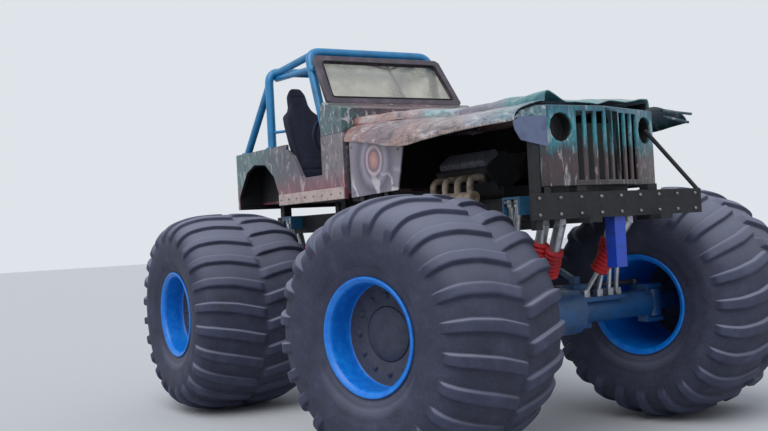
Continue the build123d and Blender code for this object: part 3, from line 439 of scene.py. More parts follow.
# Hub section: barrel behind the disc, flange against it, cap proud of it
hub_section = np.array([
    (0.262, 0), (0.262, 0.062), (0.141, 0.062), (0.141, 0.145), (0.146, 0.149), (0.25, 0.149),
    (0.256, 0.153), (0.257, 0.192), (0.26, 0.197), (0.269, 0.197), (0.2695, 0.165),
    (0.292, 0.163), (0.3, 0.15), (0.308, 0.12), (0.311, 0.08), (0.3115, 0),
])
wheels = [(where, side) for where in ("front", "rear") for side in ("left", "right")]
for where, side in wheels:
    centre, basis = wheel_place(where, side)
    body = f"wheel_{where}_{side}"
    turned = revolve(centre, basis, rim_section, rim_columns)
    mesh = surface(f"rim_{where}_{side}_spun", turned, round_rows=True, round_columns=True)
    mesh.set_sharp_from_angle(angle=gentle_angle)
    mesh.materials.append(blue_enamel)
    mesh.materials.append(disc_enamel)
    row = np.arange(len(mesh.polygons)) // rim_columns
    on_disc = (row >= disc_rows[0]) & (row < disc_rows[1])
    mesh.polygons.foreach_set("material_index", on_disc.astype(np.int32))
    add_piece(mesh, blue_enamel, [f"rim_{where}_{side}"], body)
    turned = revolve(centre, basis, hub_section, 48)
    mesh = surface(f"hub_{where}_{side}_turned", turned, round_columns=True)
    mesh.set_sharp_from_angle(angle=math.radians(35))
    add_piece(mesh, disc_enamel, [f"hub_{where}_{side}"], body)
    ring = 2 * np.pi * np.arange(stud_count) / stud_count
    spots = np.stack([np.sin(ring), 0 * ring, np.cos(ring)], axis=1) * stud_ring
    places = (spots + (0, disc_face, 0)) @ basis.T + centre
    bolt_heads(f"wheel_nuts_{where}_{side}", places, basis[:, 1], 0.0175, disc_enamel, body)

# The tyres are low-pressure flotation tyres 1.676 m high, hand-cut from farm tyres: two rows
# of shallow swept lugs that run over the shoulder, worn round, on a soft bulging carcass.
lug_rows, lug_height, lug_half, lug_edge = 24, 0.029, 0.18, 0.06
groove_half, groove_edge = 0.008, 0.016
# Carcass from the middle of the tread to the bead: distance from the mid-plane, radius
carcass = np.array([
    (0, 0.808), (0.12, 0.806), (0.24, 0.798), (0.34, 0.778), (0.43, 0.745), (0.485, 0.7),
    (0.515, 0.646), (0.531, 0.585), (0.529, 0.525), (0.515, 0.468), (0.492, 0.412), (0.478, 0.378),
])
bead = np.array([
    (0.4705, 0.362), (0.47, 0.342), (0.46, 0.3335), (0.42, 0.3332), (0.2, 0.3332)])
# Distance from the mid-plane, how far round the lug has swept there
lug_sweep = np.array([(0.0107, -0.045), (0.246, 0.012), (0.43, 0.04), (0.524, 0.046)])
# Radii between which the lugs fade into the side wall
wall_fade = (0.66, 0.6)
# Moulded rings of the side wall
ring_height, ring_pitch, ring_inner, ring_outer = 0.0016, 0.016, 0.4, 0.6
# Places of the grid's columns in one lug pitch, closest at the lugs' edges
pitch_columns = np.array([
    0, 0.08, 0.14, 0.16, 0.18, 0.2, 0.22, 0.26, 0.28, 0.3, 0.32, 0.34, 0.36, 0.42, 0.5, 0.58,
    0.64, 0.66, 0.68, 0.7, 0.72, 0.78, 0.8, 0.82, 0.84, 0.86, 0.92])


def smooth_rows(table, count):
    """A table drawn out to count rows along a smooth curve: each new row mixes the four rows
    nearest to it by the Catmull-Rom formula."""
    last = len(table) - 1
    spot = np.linspace(0, last, count)
    base = np.minimum(spot.astype(int), last - 1)
    t = spot - base
    mix = np.stack([
        -0.5 * t + t ** 2 - 0.5 * t ** 3,
        1 - 2.5 * t ** 2 + 1.5 * t ** 3,
        0.5 * t + 2 * t ** 2 - 1.5 * t ** 3,
        -0.5 * t ** 2 + 0.5 * t ** 3,
    ], axis=1)
    weights = np.zeros((count, last + 1))
    for step in range(4):
        nearest = np.clip(base + step - 1, 0, last)
        np.add.at(weights, (np.arange(count), nearest), mix[:, step])
    return weights @ table


def smooth_step(value):
    """Zero below 0 and one above 1, with a soft slope between."""
    t = np.clip(value, 0, 1)
    return t * t * (3 - 2 * t)


def tyre_grid():
    """The tyre's surface about its own centre and the lug share of each point. The carcass is
    turned about the axle on columns that follow the lugs' sweep, and pushed out by the lugs."""
    half = np.vstack([smooth_rows(carcass, 46), bead])
    line = np.vstack([half[:0:-1] * (-1, 1), half])
    step = np.gradient(line, axis=0)
    normal = np.stack([step[:, 1], -step[:, 0]], axis=1)
    normal *= -1 / np.linalg.norm(normal, axis=1, keepdims=True)
    along, radius = line.T[..., None]
    distance = np.abs(along)
    column = (np.arange(lug_rows)[:, None] + pitch_columns).ravel()
    phase = np.where(along >= 0, column, column - 0.5)
    gap = np.abs(phase - np.round(phase))
    lug = smooth_step((lug_half + lug_edge / 2 - gap) / lug_edge)
    start = smooth_step((distance - groove_half) / groove_edge)
    fade = smooth_step((radius - wall_fade[1]) / (wall_fade[0] - wall_fade[1]))
    lug = lug * (start * fade)
    sweep = np.interp(distance, *lug_sweep.T)
    angle = (column + 0.25) * 2 * np.pi / lug_rows + sweep / carcass[0, 1]
    ringed = (radius < ring_outer) & (radius > ring_inner)
    push = lug * lug_height + ring_height * np.sin(radius * 2 * np.pi / ring_pitch) * ringed
    out = radius + normal[:, 1:] * push
    side = along + normal[:, :1] * push
    return np.stack([out * np.sin(angle), side, out * np.cos(angle)], axis=-1), lug


def tyre_rubber():
    """Worn tyre rubber: bluish grey, with painted shade that darkens the grooves and the side
    walls, and pale dust mixed with a painted top light on what faces up.
    """
    material, add, shader = new_finish("dusty_worn_tyre_rubber")
    place = add("TexCoord").outputs["Object"]
    height = add("Attribute", attribute_name="lug").outputs["Fac"]
    patches = add("TexNoise", place, Scale=noise_scale(160), Detail=7, Roughness=0.65)
    grit = add("TexNoise", place, Scale=noise_scale(14), Detail=6, Roughness=0.7)
    # Painted shade: the darker copy of the rubber's colour goes in the grooves and on the side
    # walls, the lighter copy on the lug tops
    wall = add("ValToRGB", patches, stops=[(0.3, "#212433"), (0.55, "#2d3146"), (0.8, "#414559")])
    top = add("ValToRGB", patches, stops=[(0.3, "#272b3d"), (0.55, "#343a53"), (0.8, "#4a4f66")])
    rubber = add("Mix", height, wall, top, data_type="RGBA")
    dusty = add("MapRange", grit, 0.45, 0.75, 0, 0.45)
    upward = facing_up(add, 0.2, 0, 0.75)
    skin = add("Mix", dusty, rubber, "#54566a", data_type="RGBA")
    # Pale blue-grey on what faces up: partly dust, partly a painted top light on the tread
    top_dust_and_light = add("Mix", upward, skin, "#868a9e", data_type="RGBA")
    rough = add("MapRange", grit, 0.3, 0.7, 0.62, 0.9)
    scuff = add("Bump", Height=grit, Strength=0.35, Distance=0.004)
    plug(shader, Base_Color=top_dust_and_light, Roughness=rough, Normal=scuff)
    return material


tyre_rubber_painted_light = tyre_rubber()
tyre_points, tyre_lugs = tyre_grid()
for where, side in wheels:
    centre, basis = wheel_place(where, side)
    grid = tyre_points @ basis.T + centre
    rows, columns = grid.shape[:2]
    mesh = surface(f"tyre_{where}_{side}_lugged", grid, round_rows=True, round_columns=True,
                   solid=False)
    mesh.attributes.new("lug", "FLOAT", "POINT").data.foreach_set("value", tyre_lugs.ravel())
    if mesh.polygons[rows // 2 * columns].normal.z < 0:
        mesh.flip_normals()
    add_piece(mesh, tyre_rubber_painted_light, [f"tyre_{where}_{side}"], f"wheel_{where}_{side}")

# The engine is a big V8: an oily black iron block, leaning heads under ribbed alloy covers, and
# an air box between them. Its exhausts are bent mild steel pipes welded into a collector a side.
engine_low, engine_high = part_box("engine")
engine_middle = (engine_low.x + engine_high.x) / 2
cover_length, cover_width, cover_height, cover_ribs = 0.56, 0.15, 0.05, 14
head_side, head_height, head_lean, head_half = 0.205, 0.185, math.radians(35), 0.115
# Heat-stained steel of the exhaust pipes: pale straw going to brown and blue-grey
heat_steel = dusty_enamel("heat_stained_pipe_steel", "#b3a38f", "#6b5a4c", "#7a7168",
                          coat=0, patch_mm=60, dust_share=0.3)
# Black oily castings of the engine, near black, which is also painted shade for the dark bay:
# nearly no light comes back out of the bay
black_iron_painted_shade = dusty_enamel("oily_black_engine_iron", "#141417", "#1f1e20", "#3c3a38",
                         roughness=0.4, dust_share=0.4)
# Ribbed alloy of the valve covers: satin silver, with soot between the ribs
cover_alloy = dusty_enamel("ribbed_cover_alloy", "#5b5e66", "#333338", "#55524e",
                           coat=0, patch_mm=50, dust_share=0.3)
# The radiator and fuel cell deep in the bay take the same near black, as painted shade
for node, slot in (("engine", "engine"), ("radiator", "alloy"), ("fuel_cell", "dark")):
    eased_copy(node, black_iron_painted_shade, edge_mm=8)


def cover_points(side):
    """A valve cover: a rounded hump's section carried along the head, scalloped by its ribs, and
    leant outwards with the head."""
    along = np.linspace(-1, 1, cover_ribs * 6 + 1)[:, None]
    bend = np.linspace(0, np.pi, 17)
    across = np.cos(bend) * np.abs(np.cos(bend)) ** -0.6 * cover_width / 2
    across[len(bend) // 2] = 0
    up = np.abs(np.sin(bend)) ** 0.4 * cover_height
    ends = np.clip((1 - np.abs(along)) / 0.06, 0, 1) ** 0.5
    ribs = 1 - 0.12 * (0.5 + 0.5 * np.cos(np.pi * cover_ribs * along))
    width = across * (0.9 + 0.1 * ends)
    high = head_half + up * (ends * ribs)
    c, s = math.cos(head_lean), math.sin(head_lean)
    x = engine_middle + along * cover_length / 2 * np.ones_like(width)
    y = side * (head_side + width * c + high * s)
    z = rail_top + head_height - width * s + high * c
    return np.stack([x, y, z], axis=-1)


def tube(path, radius, sides, closed=False):
    """A round tube about a path: each path point carries a circle square to the path. The circles
    are turned alike by the axis that the path keeps farthest from."""
    path = np.array(path, float)
    if closed:
        step = np.roll(path, -1, axis=0) - np.roll(path, 1, axis=0)
    else:
        step = np.gradient(path, axis=0)
    step /= np.linalg.norm(step, axis=1)[:, None]
    first = np.cross(step, np.eye(3)[np.abs(step).max(axis=0).argmin()])
    first /= np.linalg.norm(first, axis=1)[:, None]
    second = np.cross(first, step)
    angle = np.linspace(0, 2 * np.pi, sides, endpoint=False)
    ring = first[:, None, :] * np.cos(angle)[None, :, None]
    ring = ring + second[:, None, :] * np.sin(angle)[None, :, None]
    grid = path[:, None, :] + ring * np.reshape(radius, (-1, 1, 1))
    if not closed:
        grid = np.concatenate([path[:1, None, :] + 1e-4 * ring[:1], grid,
                               path[-1:, None, :] + 1e-4 * ring[-1:]])
    return grid


for side, name in ((1, "left"), (-1, "right")):
    add_piece(surface(f"valve_cover_{name}", cover_points(side)), cover_alloy)

pipe_count, pipe_pitch, first_pipe = 4, 0.15, 0.3
port_side, port_height = 0.34, 0.16
collector_side, collector_rise, collector_front = 0.45, 0.02, 0.05
pipe_radius, collector_radius, pipe_bend = 0.024, 0.044, 0.06
front_axle_x = joints["steer_front"]["pos_m"][0]


def eased_path(corners, bend, steps=6):
    """A path through corners with each inner corner rounded: a curve drawn by mixing the points
    before, at and after the corner as (1-t)^2, 2t(1-t) and t^2."""
    corners = np.array(corners, float)
    path = [corners[:1]]
    share = np.linspace(0, 1, steps + 1)[:, None]
    for before, corner, after in zip(corners, corners[1:], corners[2:]):
        start = corner + (before - corner) / np.linalg.norm(before - corner) * bend
        end = corner + (after - corner) / np.linalg.norm(after - corner) * bend
        path.append(start * (1 - share) ** 2 + corner * 2 * share * (1 - share) + end * share ** 2)
    path.append(corners[-1:])
    return np.vstack(path)


def joined_tubes(name, paths, material, replaced, sides=16):
    """Round tubes about several paths, each with its radius, as one mesh."""
    mesh = joined(name, [surface("run", tube(path, radius, sides), round_columns=True)
                         for path, radius in paths])
    mesh.set_sharp_from_angle(angle=gentle_angle)
    add_piece(mesh, material, replaced)


headers = []
port, low = rail_top + port_height, rail_top + collector_rise
start = front_axle_x - first_pipe
for side in (1, -1):
    near, far = side * port_side, side * collector_side
    for x in start - pipe_pitch * np.arange(pipe_count):
        bends = [(x, near, port), (x, far, port), (x, far, low)]
        headers.append((eased_path(bends, pipe_bend), pipe_radius))
    ends = [(start + collector_front, far, low), (start - pipe_pitch * pipe_count, far, low)]
    headers.append((ends, collector_radius))
joined_tubes("exhaust_pipes", headers, heat_steel, ["exhaust_headers"])


# The body is pressed steel sheet, sprayed by hand in clouded colours that change along the
# truck, with cream strips along its sills. The colours lie on the sheet, so they follow it.
spray_edge = 0.015


def airbrushed(name, span, stops, low=None, marks=None, axis="X", dust_share=0.3, patch_mm=140,
               wobble=0.5, streaks=((1, 1, 0.3), 60), depth=0.55):
    """Airbrushed enamel: colour stops along one axis between two places in metres, pushed about
    by clouds. low is (height, depth, colour) of a tint below a height. marks are (spacing_mm,
    low height, high height, colour) of upright sprayed dashes between two heights. streaks are
    (stretch, width_mm) of dark and white sprayed strokes, and depth is how strong they are."""
    material, add, shader = new_finish(name)
    place = add("TexCoord").outputs["Object"]
    spot = add("SeparateXYZ", place).outputs
    cloud = add("TexNoise", place, Scale=noise_scale(patch_mm), Detail=7, Roughness=0.6,
                Distortion=0.6)
    along = add("MapRange", spot[axis], *span)
    shift = add("MapRange", cloud, 0.25, 0.75, -0.5 * wobble, 0.5 * wobble)
    shifted = add("Math", along, shift, operation="ADD")
    colour = add("ValToRGB", shifted, stops=stops)
    if low:
        height, fade, tint = low
        below = add("MapRange", spot["Z"], height + fade / 2, height - fade / 2)
        ragged = add("MapRange", cloud, 0.3, 0.6, 0.5, 1)
        clouded = add("Math", below, ragged, operation="MULTIPLY")
        colour = add("Mix", clouded, colour, tint, data_type="RGBA")
    if marks:
        spacing, bottom, top, ink = marks
        drift = add("Math", cloud, 9, operation="MULTIPLY")
        turns = add("Math", spot["X"], 2000 * math.pi / spacing, drift, operation="MULTIPLY_ADD")
        wave = add("Math", turns, operation="SINE")
        dash = add("MapRange", wave, 0.1, 0.7)
        over = add("MapRange", spot["Z"], bottom, bottom + spray_edge)
        under = add("MapRange", spot["Z"], top, top - spray_edge)
        band = add("Math", over, under, operation="MULTIPLY")
        inked = add("Math", band, dash, operation="MULTIPLY")
        colour = add("Mix", inked, colour, ink, data_type="RGBA")
    stretch, width_mm = streaks
    strokes = add("TexNoise", add("Mapping", place, Scale=stretch), Scale=noise_scale(width_mm),
                  Detail=4, Roughness=0.55, Distortion=1.2)
    dark = add("MapRange", strokes, 0.46, 0.36, 0, depth)
    light = add("MapRange", strokes, 0.57, 0.66, 0, depth)
    darker = add("Mix", dark, colour, "#23222e", data_type="RGBA")
    streaked = add("Mix", light, darker, "#d9d6da", data_type="RGBA")
    speckle = add("TexNoise", place, Scale=noise_scale(30), Detail=8, Roughness=0.75)
    shade = add("ValToRGB", speckle, stops=[(0.3, "#8c8c8c"), (0.5, "#e6e6e6"), (0.75, "#ffffff")])
    mottled = add("Mix", 0.8, streaked, shade, data_type="RGBA", blend_type="MULTIPLY")
    upward = facing_up(add, 0, 0.1, 1)
    film = add("Math", speckle, dust_share, operation="MULTIPLY")
    dust = add("Math", upward, film, operation="MULTIPLY")
    skin = add("Mix", dust, mottled, "#a39c93", data_type="RGBA")
    rough = add("MapRange", speckle, 0.3, 0.8, 0.25, 0.6)
    plug(shader, Base_Color=skin, Roughness=rough, Coat_Weight=0.4, Coat_Roughness=0.25)
    return material


tub_low, tub_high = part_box("tub")
# Tub paint: clouded teal-green at the tail, grey-purple by the door, pink-red low down
tub_enamel = airbrushed(
    "airbrushed_tub_enamel", (tub_low.x, tub_high.x),
    [(0.05, "#3f6f70"), (0.25, "#35585f"), (0.42, "#3a4450"), (0.62, "#54485a"), (0.8, "#5d5260"),
     (0.95, "#7d727a")],
    low=(1.9, 0.16, "#8d3f50"), streaks=((1, 1, 0.5), 70), depth=0.45)
tub_skin = eased_copy("tub", tub_enamel, edge_mm=5, round_mm=70)
# Black underseal inside the tub and under its floor, which is also painted shade there: no light
# comes back from it
underseal_painted_shade = dusty_enamel("black_underseal", "#0b0b10", "#15151a", "#2b2a2e", roughness=0.7, coat=0,
                         dust_share=0.25)
tub_middle = (tub_low + tub_high) / 2


def paint_inside_shade(piece, middle, least):
    """Underseal, which is also painted shade, on the faces that look towards a middle point from
    farther than the least distance, and on those that look down."""
    piece.data.materials.append(underseal_painted_shade)
    for face in piece.data.polygons:
        inward = face.normal.dot(middle - face.center) > least
        face.material_index = int(inward or face.normal.z < -0.9)


paint_inside_shade(tub_skin, tub_middle, 0.1)
eased_copy("wheel_houses", black_enamel)
# Cream enamel of the sill strips: warm off-white, browned by road dust
cream_enamel = dusty_enamel("cream_sill_enamel", "#bfaca6", "#97807c", "#7f7775",
                            roughness=0.4, dust_share=0.4)
eased_copy("rocker_strips", cream_enamel, edge_mm=4)

# The cowl carries the windscreen; its top and face are sprayed dark with pink clouds and
# short white slanted streaks.
cowl_low, cowl_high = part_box("cowl")
cowl_enamel = airbrushed(
    "airbrushed_cowl_enamel", (cowl_low.y, cowl_high.y),
    [(0.05, "#3d6468"), (0.14, "#463c48"), (0.3, "#6d4a58"), (0.5, "#2c2029"), (0.68, "#7d5665"),
     (0.88, "#2b2129")],
    axis="Y", low=(2.24, 0.08, "#655c6b"), patch_mm=90, wobble=0.35, streaks=((1, 0.7, 0.5), 50),
    depth=0.8)
# The cowl's inner faces take the same underseal: painted shade behind the screen
paint_inside_shade(eased_copy("cowl", cowl_enamel, edge_mm=5), tub_middle, 0.2)


# The loose side panels behind the front wheels are flat sheet, sprayed mauve-grey with a plain
# ring ornament and white swirls low down.
def ringed_panel(centre_x, centre_z):
    """Mauve-grey enamel with plain concentric rings about one point of the side view."""
    material, add, shader = new_finish("ringed_panel_enamel")
    place = add("TexCoord").outputs["Object"]
    flat = add("Mapping", place, Location=(-centre_x, 0, -centre_z), Scale=(1, 0, 1))
    reach = add("VectorMath", flat, operation="LENGTH")
    cloud = add("TexNoise", place, Scale=noise_scale(90), Detail=6, Roughness=0.6)
    jitter = add("Math", cloud, 0.03, reach, operation="MULTIPLY_ADD")
    rings = add("ValToRGB", add("Math", jitter, 2.6, operation="MULTIPLY"), stops=[
        (0, "#b98f80"), (0.16, "#a3706a"), (0.24, "#5f4a5c"), (0.31, "#b7a3ab"),
        (0.37, "#5d5264"), (0.46, "#8d8496"), (0.62, "#4d465a"), (0.85, "#7b7180")])
    swirl = add("TexWave", place, Scale=noise_scale(400), Distortion=9, Detail=3, Detail_Scale=1.6,
                bands_direction="DIAGONAL")
    streak = add("MapRange", swirl.outputs["Fac"], 0.8, 1, 0, 0.6)
    height = add("SeparateXYZ", place).outputs["Z"]
    low = add("MapRange", height, centre_z - 0.05, centre_z - 0.2)
    drift = add("Math", streak, low, operation="MULTIPLY")
    skin = add("Mix", drift, rings, "#e6e2e4", data_type="RGBA")
    rough = add("MapRange", cloud, 0.3, 0.8, 0.25, 0.55)
    plug(shader, Base_Color=skin, Roughness=rough, Coat_Weight=0.4)
    return material


panel_low, panel_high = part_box("side_panels")
ring_enamel = ringed_panel(panel_low.x + 0.36, panel_high.z - 0.17)
eased_copy("side_panels", ring_enamel, edge_mm=3)

# The bonnet is one long sheet, buckled along its length and knocked down and back at the
# nose; its lip is rolled and lifted where the paint shows teal.
bonnet_low, bonnet_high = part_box("bonnet")
edge_height = bonnet_high.z - 0.035
rear_half, nose_half = 0.62, 0.56
nose_right, nose_left = bonnet_high.x - 0.002, 1.861
sheet_thickness = 0.006
rear_bulge = 0.055
# Places along the bonnet (0 rear to 1 nose): edge drop, crown, dent right of the middle
bonnet_sections = np.array([
    (0, 0, 0.033, 0), (0.2, 0.021, 0.024, 0.004), (0.4, 0.037, 0.022, 0),
    (0.6, 0.046, 0.026, 0.008), (0.78, 0.049, 0.032, 0.004), (0.9, 0.047, 0.022, 0.04),
    (1, 0.045, 0.014, 0.078),
])
# Places across it (-1 right to 1 left): height share of the crown, share of the dent, skirt drop
bonnet_across = np.array([
    (-1, 0, 0, 0.06), (-0.995, 0, 0, 0.035), (-0.975, 0, 0, 0.01),
    (-0.92, 0.15, 0.1, 0), (-0.7, 0.55, 0.7, 0), (-0.4, 0.85, 1, 0), (-0.1, 1, 0.85, 0),
    (0.2, 0.98, 0.6, 0), (0.55, 0.7, 0.35, 0), (0.92, 0.15, 0.05, 0), (0.975, 0, 0, 0.01),
    (0.995, 0, 0, 0.035), (1, 0, 0, 0.06),
])
bonnet_rows, bonnet_columns = 150, 120


def buckles(x, y, strength):
    """Creases of bent sheet: a sum of slanted waves sharpened to ridges, fading by strength."""
    ridge = np.abs(np.sin(9 * x + 3.5 * y + 0.6)) - 0.6
    cross = np.abs(np.sin(5 * x - 8 * y + 1.9 * np.sin(3 * x))) - 0.6
    fine = np.sin(31 * x + 17 * y) * np.sin(23 * y - 9 * x)
    return strength * (0.55 * ridge + 0.45 * cross + 0.08 * fine)


def bonnet_points():
    """Bonnet sections carried along the truck: height falls from the edge line, rises by the
    crown, sinks by the dent, and buckles more towards the nose; the nose line is skewed. The
    rear of the right side stands up by the bulge."""
    run, drop, crown, dent = smooth_rows(bonnet_sections, bonnet_rows).T[..., None]
    side, crowned, dented, skirt = smooth_rows(bonnet_across, bonnet_columns).T
    half = rear_half + (nose_half - rear_half) * run
    nose = nose_right + (nose_left - nose_right) * (side + 1) / 2
    x = bonnet_low.x + run * (nose - bonnet_low.x)
    y = side * half * (1 - 0.018 * run)
    z = edge_height - drop + crown * crowned - dent * dented - skirt
    inside = smooth_step((1 - np.abs(side)) / 0.12)
    z = z + buckles(x, y, 0.012 + 0.02 * run ** 3) * inside * smooth_step(run / 0.08)
    near = smooth_step((0.3 - side) / 0.9) * smooth_step((0.62 - run) / 0.35)
    return np.stack([x, y, z + rear_bulge * near], axis=-1)


def sheet_piece(name, points, material, replaced=(), thickness=sheet_thickness):
    """An open sheet given its thickness downwards."""
    mesh = surface(name, points, solid=False)
    if mesh.polygons[len(mesh.polygons) // 2].normal.z < 0:
        mesh.flip_normals()
    piece = add_piece(mesh, material, replaced)
    wall = piece.modifiers.new("sheet_thickness", "SOLIDIFY")
    wall.thickness = thickness
    wall.offset = -1


# Bonnet paint: dusty rose at the rear, clouds of pale blue and mauve-grey, deep teal at the nose.
# The pale blue-white in the middle is partly paint and partly a painted highlight.
bonnet_enamel = airbrushed(
    "airbrushed_bonnet_enamel", (bonnet_low.x, bonnet_high.x),
    [(0, "#9a6f68"), (0.14, "#b5928c"), (0.3, "#b5a09e"), (0.38, "#9a8d93"), (0.5, "#6fb0b4"),
     (0.6, "#b9c6cf"), (0.68, "#857f90"), (0.8, "#8f929f"), (0.9, "#6ba3a8"), (0.98, "#2f7f8c")],
    patch_mm=170, wobble=0.28, dust_share=0.2, streaks=((0.3, 1, 1), 90), depth=0.5)
sheet_piece("bonnet_sheet", bonnet_points(), bonnet_enamel, ["bonnet"])

# The fenders are sheet wings welded along the bonnet's sides. The right one keeps its front
# wall; the left one is torn off short and curls up.
fender_rows, fender_columns = 110, 60
# Fender paint: rose and mauve clouds going to blue-grey, with tan dashes above the lip
fender_enamel = airbrushed(
    "airbrushed_fender_enamel", (-0.12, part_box("fender_right")[1].x),
    [(0, "#b08078"), (0.16, "#8d7079"), (0.34, "#7f6a74"), (0.48, "#ac8680"), (0.6, "#7e6f76"),
     (0.72, "#9a8786"), (0.84, "#8f92a0"), (0.94, "#8fa3ad"), (1, "#5b8790")],
    marks=(34, 2.03, 2.085, "#c9a48a"), patch_mm=150, wobble=0.3, dust_share=0.2,
    streaks=((0.35, 1, 1), 60), depth=0.7)
# Fender sections: x, inner edge's side and height, lip's side and height
right_sections = np.array([
    (-0.12, 0.6, 2.292, 0.722, 2.172), (0.12, 0.598, 2.285, 0.738, 2.142),
    (0.4, 0.598, 2.268, 0.762, 2.102), (0.797, 0.592, 2.242, 0.8, 2.046),
    (1.2, 0.582, 2.206, 0.835, 2.056),
    (1.585, 0.566, 2.197, 0.86, 2.066), (1.85, 0.561, 2.194, 0.842, 2.072),
    (2.094, 0.561, 2.193, 0.801, 2.076),
])
torn_sections = np.array([
    (0.797, 0.605, 2.222, 0.8, 2.046), (1.2, 0.582, 2.206, 0.835, 2.056),
    (1.585, 0.566, 2.197, 0.86, 2.066), (1.75, 0.562, 2.197, 0.866, 2.084),
    (1.893, 0.561, 2.196, 0.869, 2.097),
])
# Places across a fender: share of its reach, share of its fall, drop of the rolled lip
fender_across = np.array([
    (0, 0, 0), (0.1, 0.02, 0), (0.3, 0.1, 0), (0.55, 0.24, 0), (0.78, 0.42, 0),
    (0.93, 0.64, 0), (0.99, 0.85, 0), (1, 1, 0), (0.997, 1, 0.007), (0.985, 1, 0.01),
])


def fender_points(side, sections, strength):
    """Fender sections carried along the truck: each runs out from the bonnet's edge and falls to
    a rolled lip, with creases that grow towards the front."""
    x, inner, top, lip, low = smooth_rows(sections, fender_rows).T[..., None]
    reached, fallen, rolled = smooth_rows(fender_across, fender_columns).T
    x = x * np.ones(fender_columns)
    y = side * (inner + (lip - inner) * reached)
    z = top - (top - low) * fallen - rolled
    run = np.linspace(0, 1, fender_rows)[:, None]
    inside = np.clip(np.minimum(reached, 1 - reached) / 0.2, 0, 1)
    z = z + buckles(x, y, strength * (0.3 + 0.7 * run)) * inside * smooth_step(run / 0.1)
    return np.stack([x, y, z], axis=-1)


sheet_piece("fender_right_sheet", fender_points(-1, right_sections, 0.014), fender_enamel,
            ["fender_right"])
# Grey-lavender enamel of the front wall: plain and cool under the coloured sheet
wall_enamel = dusty_enamel("grey_lavender_wall_enamel", "#5a6788", "#474f68", "#7c8294",
                           patch_mm=120, dust_share=0.3)
# The right fender's front wall and the bent sheet over it: side and height round each outline
front_walls = [
    ("fender_front_wall", wall_enamel,
     [(0.562, 2.098), (0.768, 2.09), (0.812, 2.056), (0.802, 2.01), (0.762, 1.95),
      (0.562, 1.912)]),
    ("fender_front_fold", fender_enamel,
     [(0.562, 2.163), (0.64, 2.158), (0.76, 2.123), (0.8, 2.08), (0.768, 2.0905),
      (0.562, 2.0985)]),
]
wall_x, wall_thick = 2.096, 0.008
for name, material, outline in front_walls:
    corners = [(wall_x + depth, -y, z) for depth in (0, wall_thick) for y, z in outline]
    count = len(outline)
    sides = [(i, (i + 1) % count, count + (i + 1) % count, count + i) for i in range(count)]
    mesh = bpy.data.meshes.new(name)
    mesh.from_pydata(corners, [], [tuple(range(count)), tuple(range(count, 2 * count)), *sides])
    turn_outwards(mesh)
    add_piece(mesh, material, ["fender_right"])
# Torn fender paint: brown at the rear going to dark teal
torn_enamel = airbrushed(
    "airbrushed_torn_fender_enamel", (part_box("fender_left")[0].x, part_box("fender_left")[1].x),
    [(0, "#a87766"), (0.4, "#5d6b70"), (0.7, "#2f5f66"), (1, "#2b4f58")],
    patch_mm=150, wobble=0.3, dust_share=0.2)
sheet_piece("fender_left_sheet", fender_points(1, torn_sections, 0.02), torn_enamel,
            ["fender_left"])
# Two torn strips of the left lip: start, end
strips = [((1.89, 0.64, 2.17), (1.945, 0.86, 2.145)), ((1.88, 0.65, 2.135), (1.925, 0.85, 2.09))]
joined_tubes("torn_lip_strips", [(np.linspace(start, end, 6), 0.0095) for start, end in strips],
             torn_enamel, ["fender_left"], sides=8)

# The grille is pressed sheet with upright slots, bent at one bar and sprayed teal above a dark
# lower part.
# Its lamp buckets are empty.
grille_low, grille_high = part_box("grille")
# Grille paint: brown-red low down, darker towards the bottom, teal above
grille_enamel = airbrushed(
    "airbrushed_grille_enamel", (grille_low.z, grille_high.z),
    [(0, "#231c20"), (0.2, "#47272d"), (0.38, "#3a2b31"), (0.5, "#1f6673"), (0.75, "#1c94a0"),
     (1, "#1b6078")],
    axis="Z", patch_mm=80, wobble=0.35, dust_share=0.2, streaks=((1, 1, 0.2), 30), depth=0.5)
eased_copy("grille", grille_enamel, edge_mm=5)
# The empty lamp buckets are near black: painted shade inside them
eased_copy("lamp_buckets", black_iron_painted_shade, edge_mm=2)

# The engine bay is closed by thin black sheet: a wall ahead of the cowl and an apron under the left
# fender. The right apron is gone.
# The sheets' black is painted shade that keeps the bay dark.
bay_thickness, dent_depth = 0.004, 0.004
# Name, low x, high x, low y, high y, low z, high z
bay_sheets = [("left_inner_apron", -0.13, 1.84, 0.535, 0.535, 1.66, 2.225),
              ("bay_wall", -0.132, -0.132, -0.6, 0.6, 1.79, 2.215)]
for name, x0, x1, y0, y1, z0, z1 in bay_sheets:
    along, up = np.meshgrid(np.linspace(0, 1, 30), np.linspace(0, 1, 12), indexing="ij")
    dents = dent_depth * np.sin(13 * along + 5 * up) * np.sin(9 * along)
    corners = [x0 + (x1 - x0) * along, y0 + (y1 - y0) * along, z0 + (z1 - z0) * up]
    corners[0 if x0 == x1 else 1] += dents
    sheet_piece(name, np.stack(corners, axis=-1), underseal_painted_shade, thickness=bay_thickness)

# The windscreen frame is folded steel, dark purple-black with pink scuffs, and holds a dusty
# laminated pane.
frame_enamel = dusty_enamel("dark_purple_screen_enamel", "#2a202d", "#574657", "#7f7884",
                            roughness=0.4, patch_mm=120, dust_share=0.3)
eased_copy("windscreen_frame", frame_enamel, edge_mm=6)


def dusty_glass():
    """Laminated screen glass under a pale film of dust: see-through but beige and hazy."""
    material, add, shader = new_finish("dusty_laminated_glass")
    place = add("TexCoord").outputs["Object"]
    film = add("TexNoise", place, Scale=noise_scale(120), Detail=7, Roughness=0.6)
    tint = add("ValToRGB", film, stops=[(0.3, "#d6d3c8"), (0.7, "#bdb9ad")])
    rough = add("MapRange", film, 0.3, 0.7, 0.12, 0.3)
    plug(shader, Base_Color=tint, Roughness=rough, Transmission_Weight=0.72, IOR=1.45)
    return material


eased_copy("windscreen_glass", dusty_glass(), edge_mm=0)
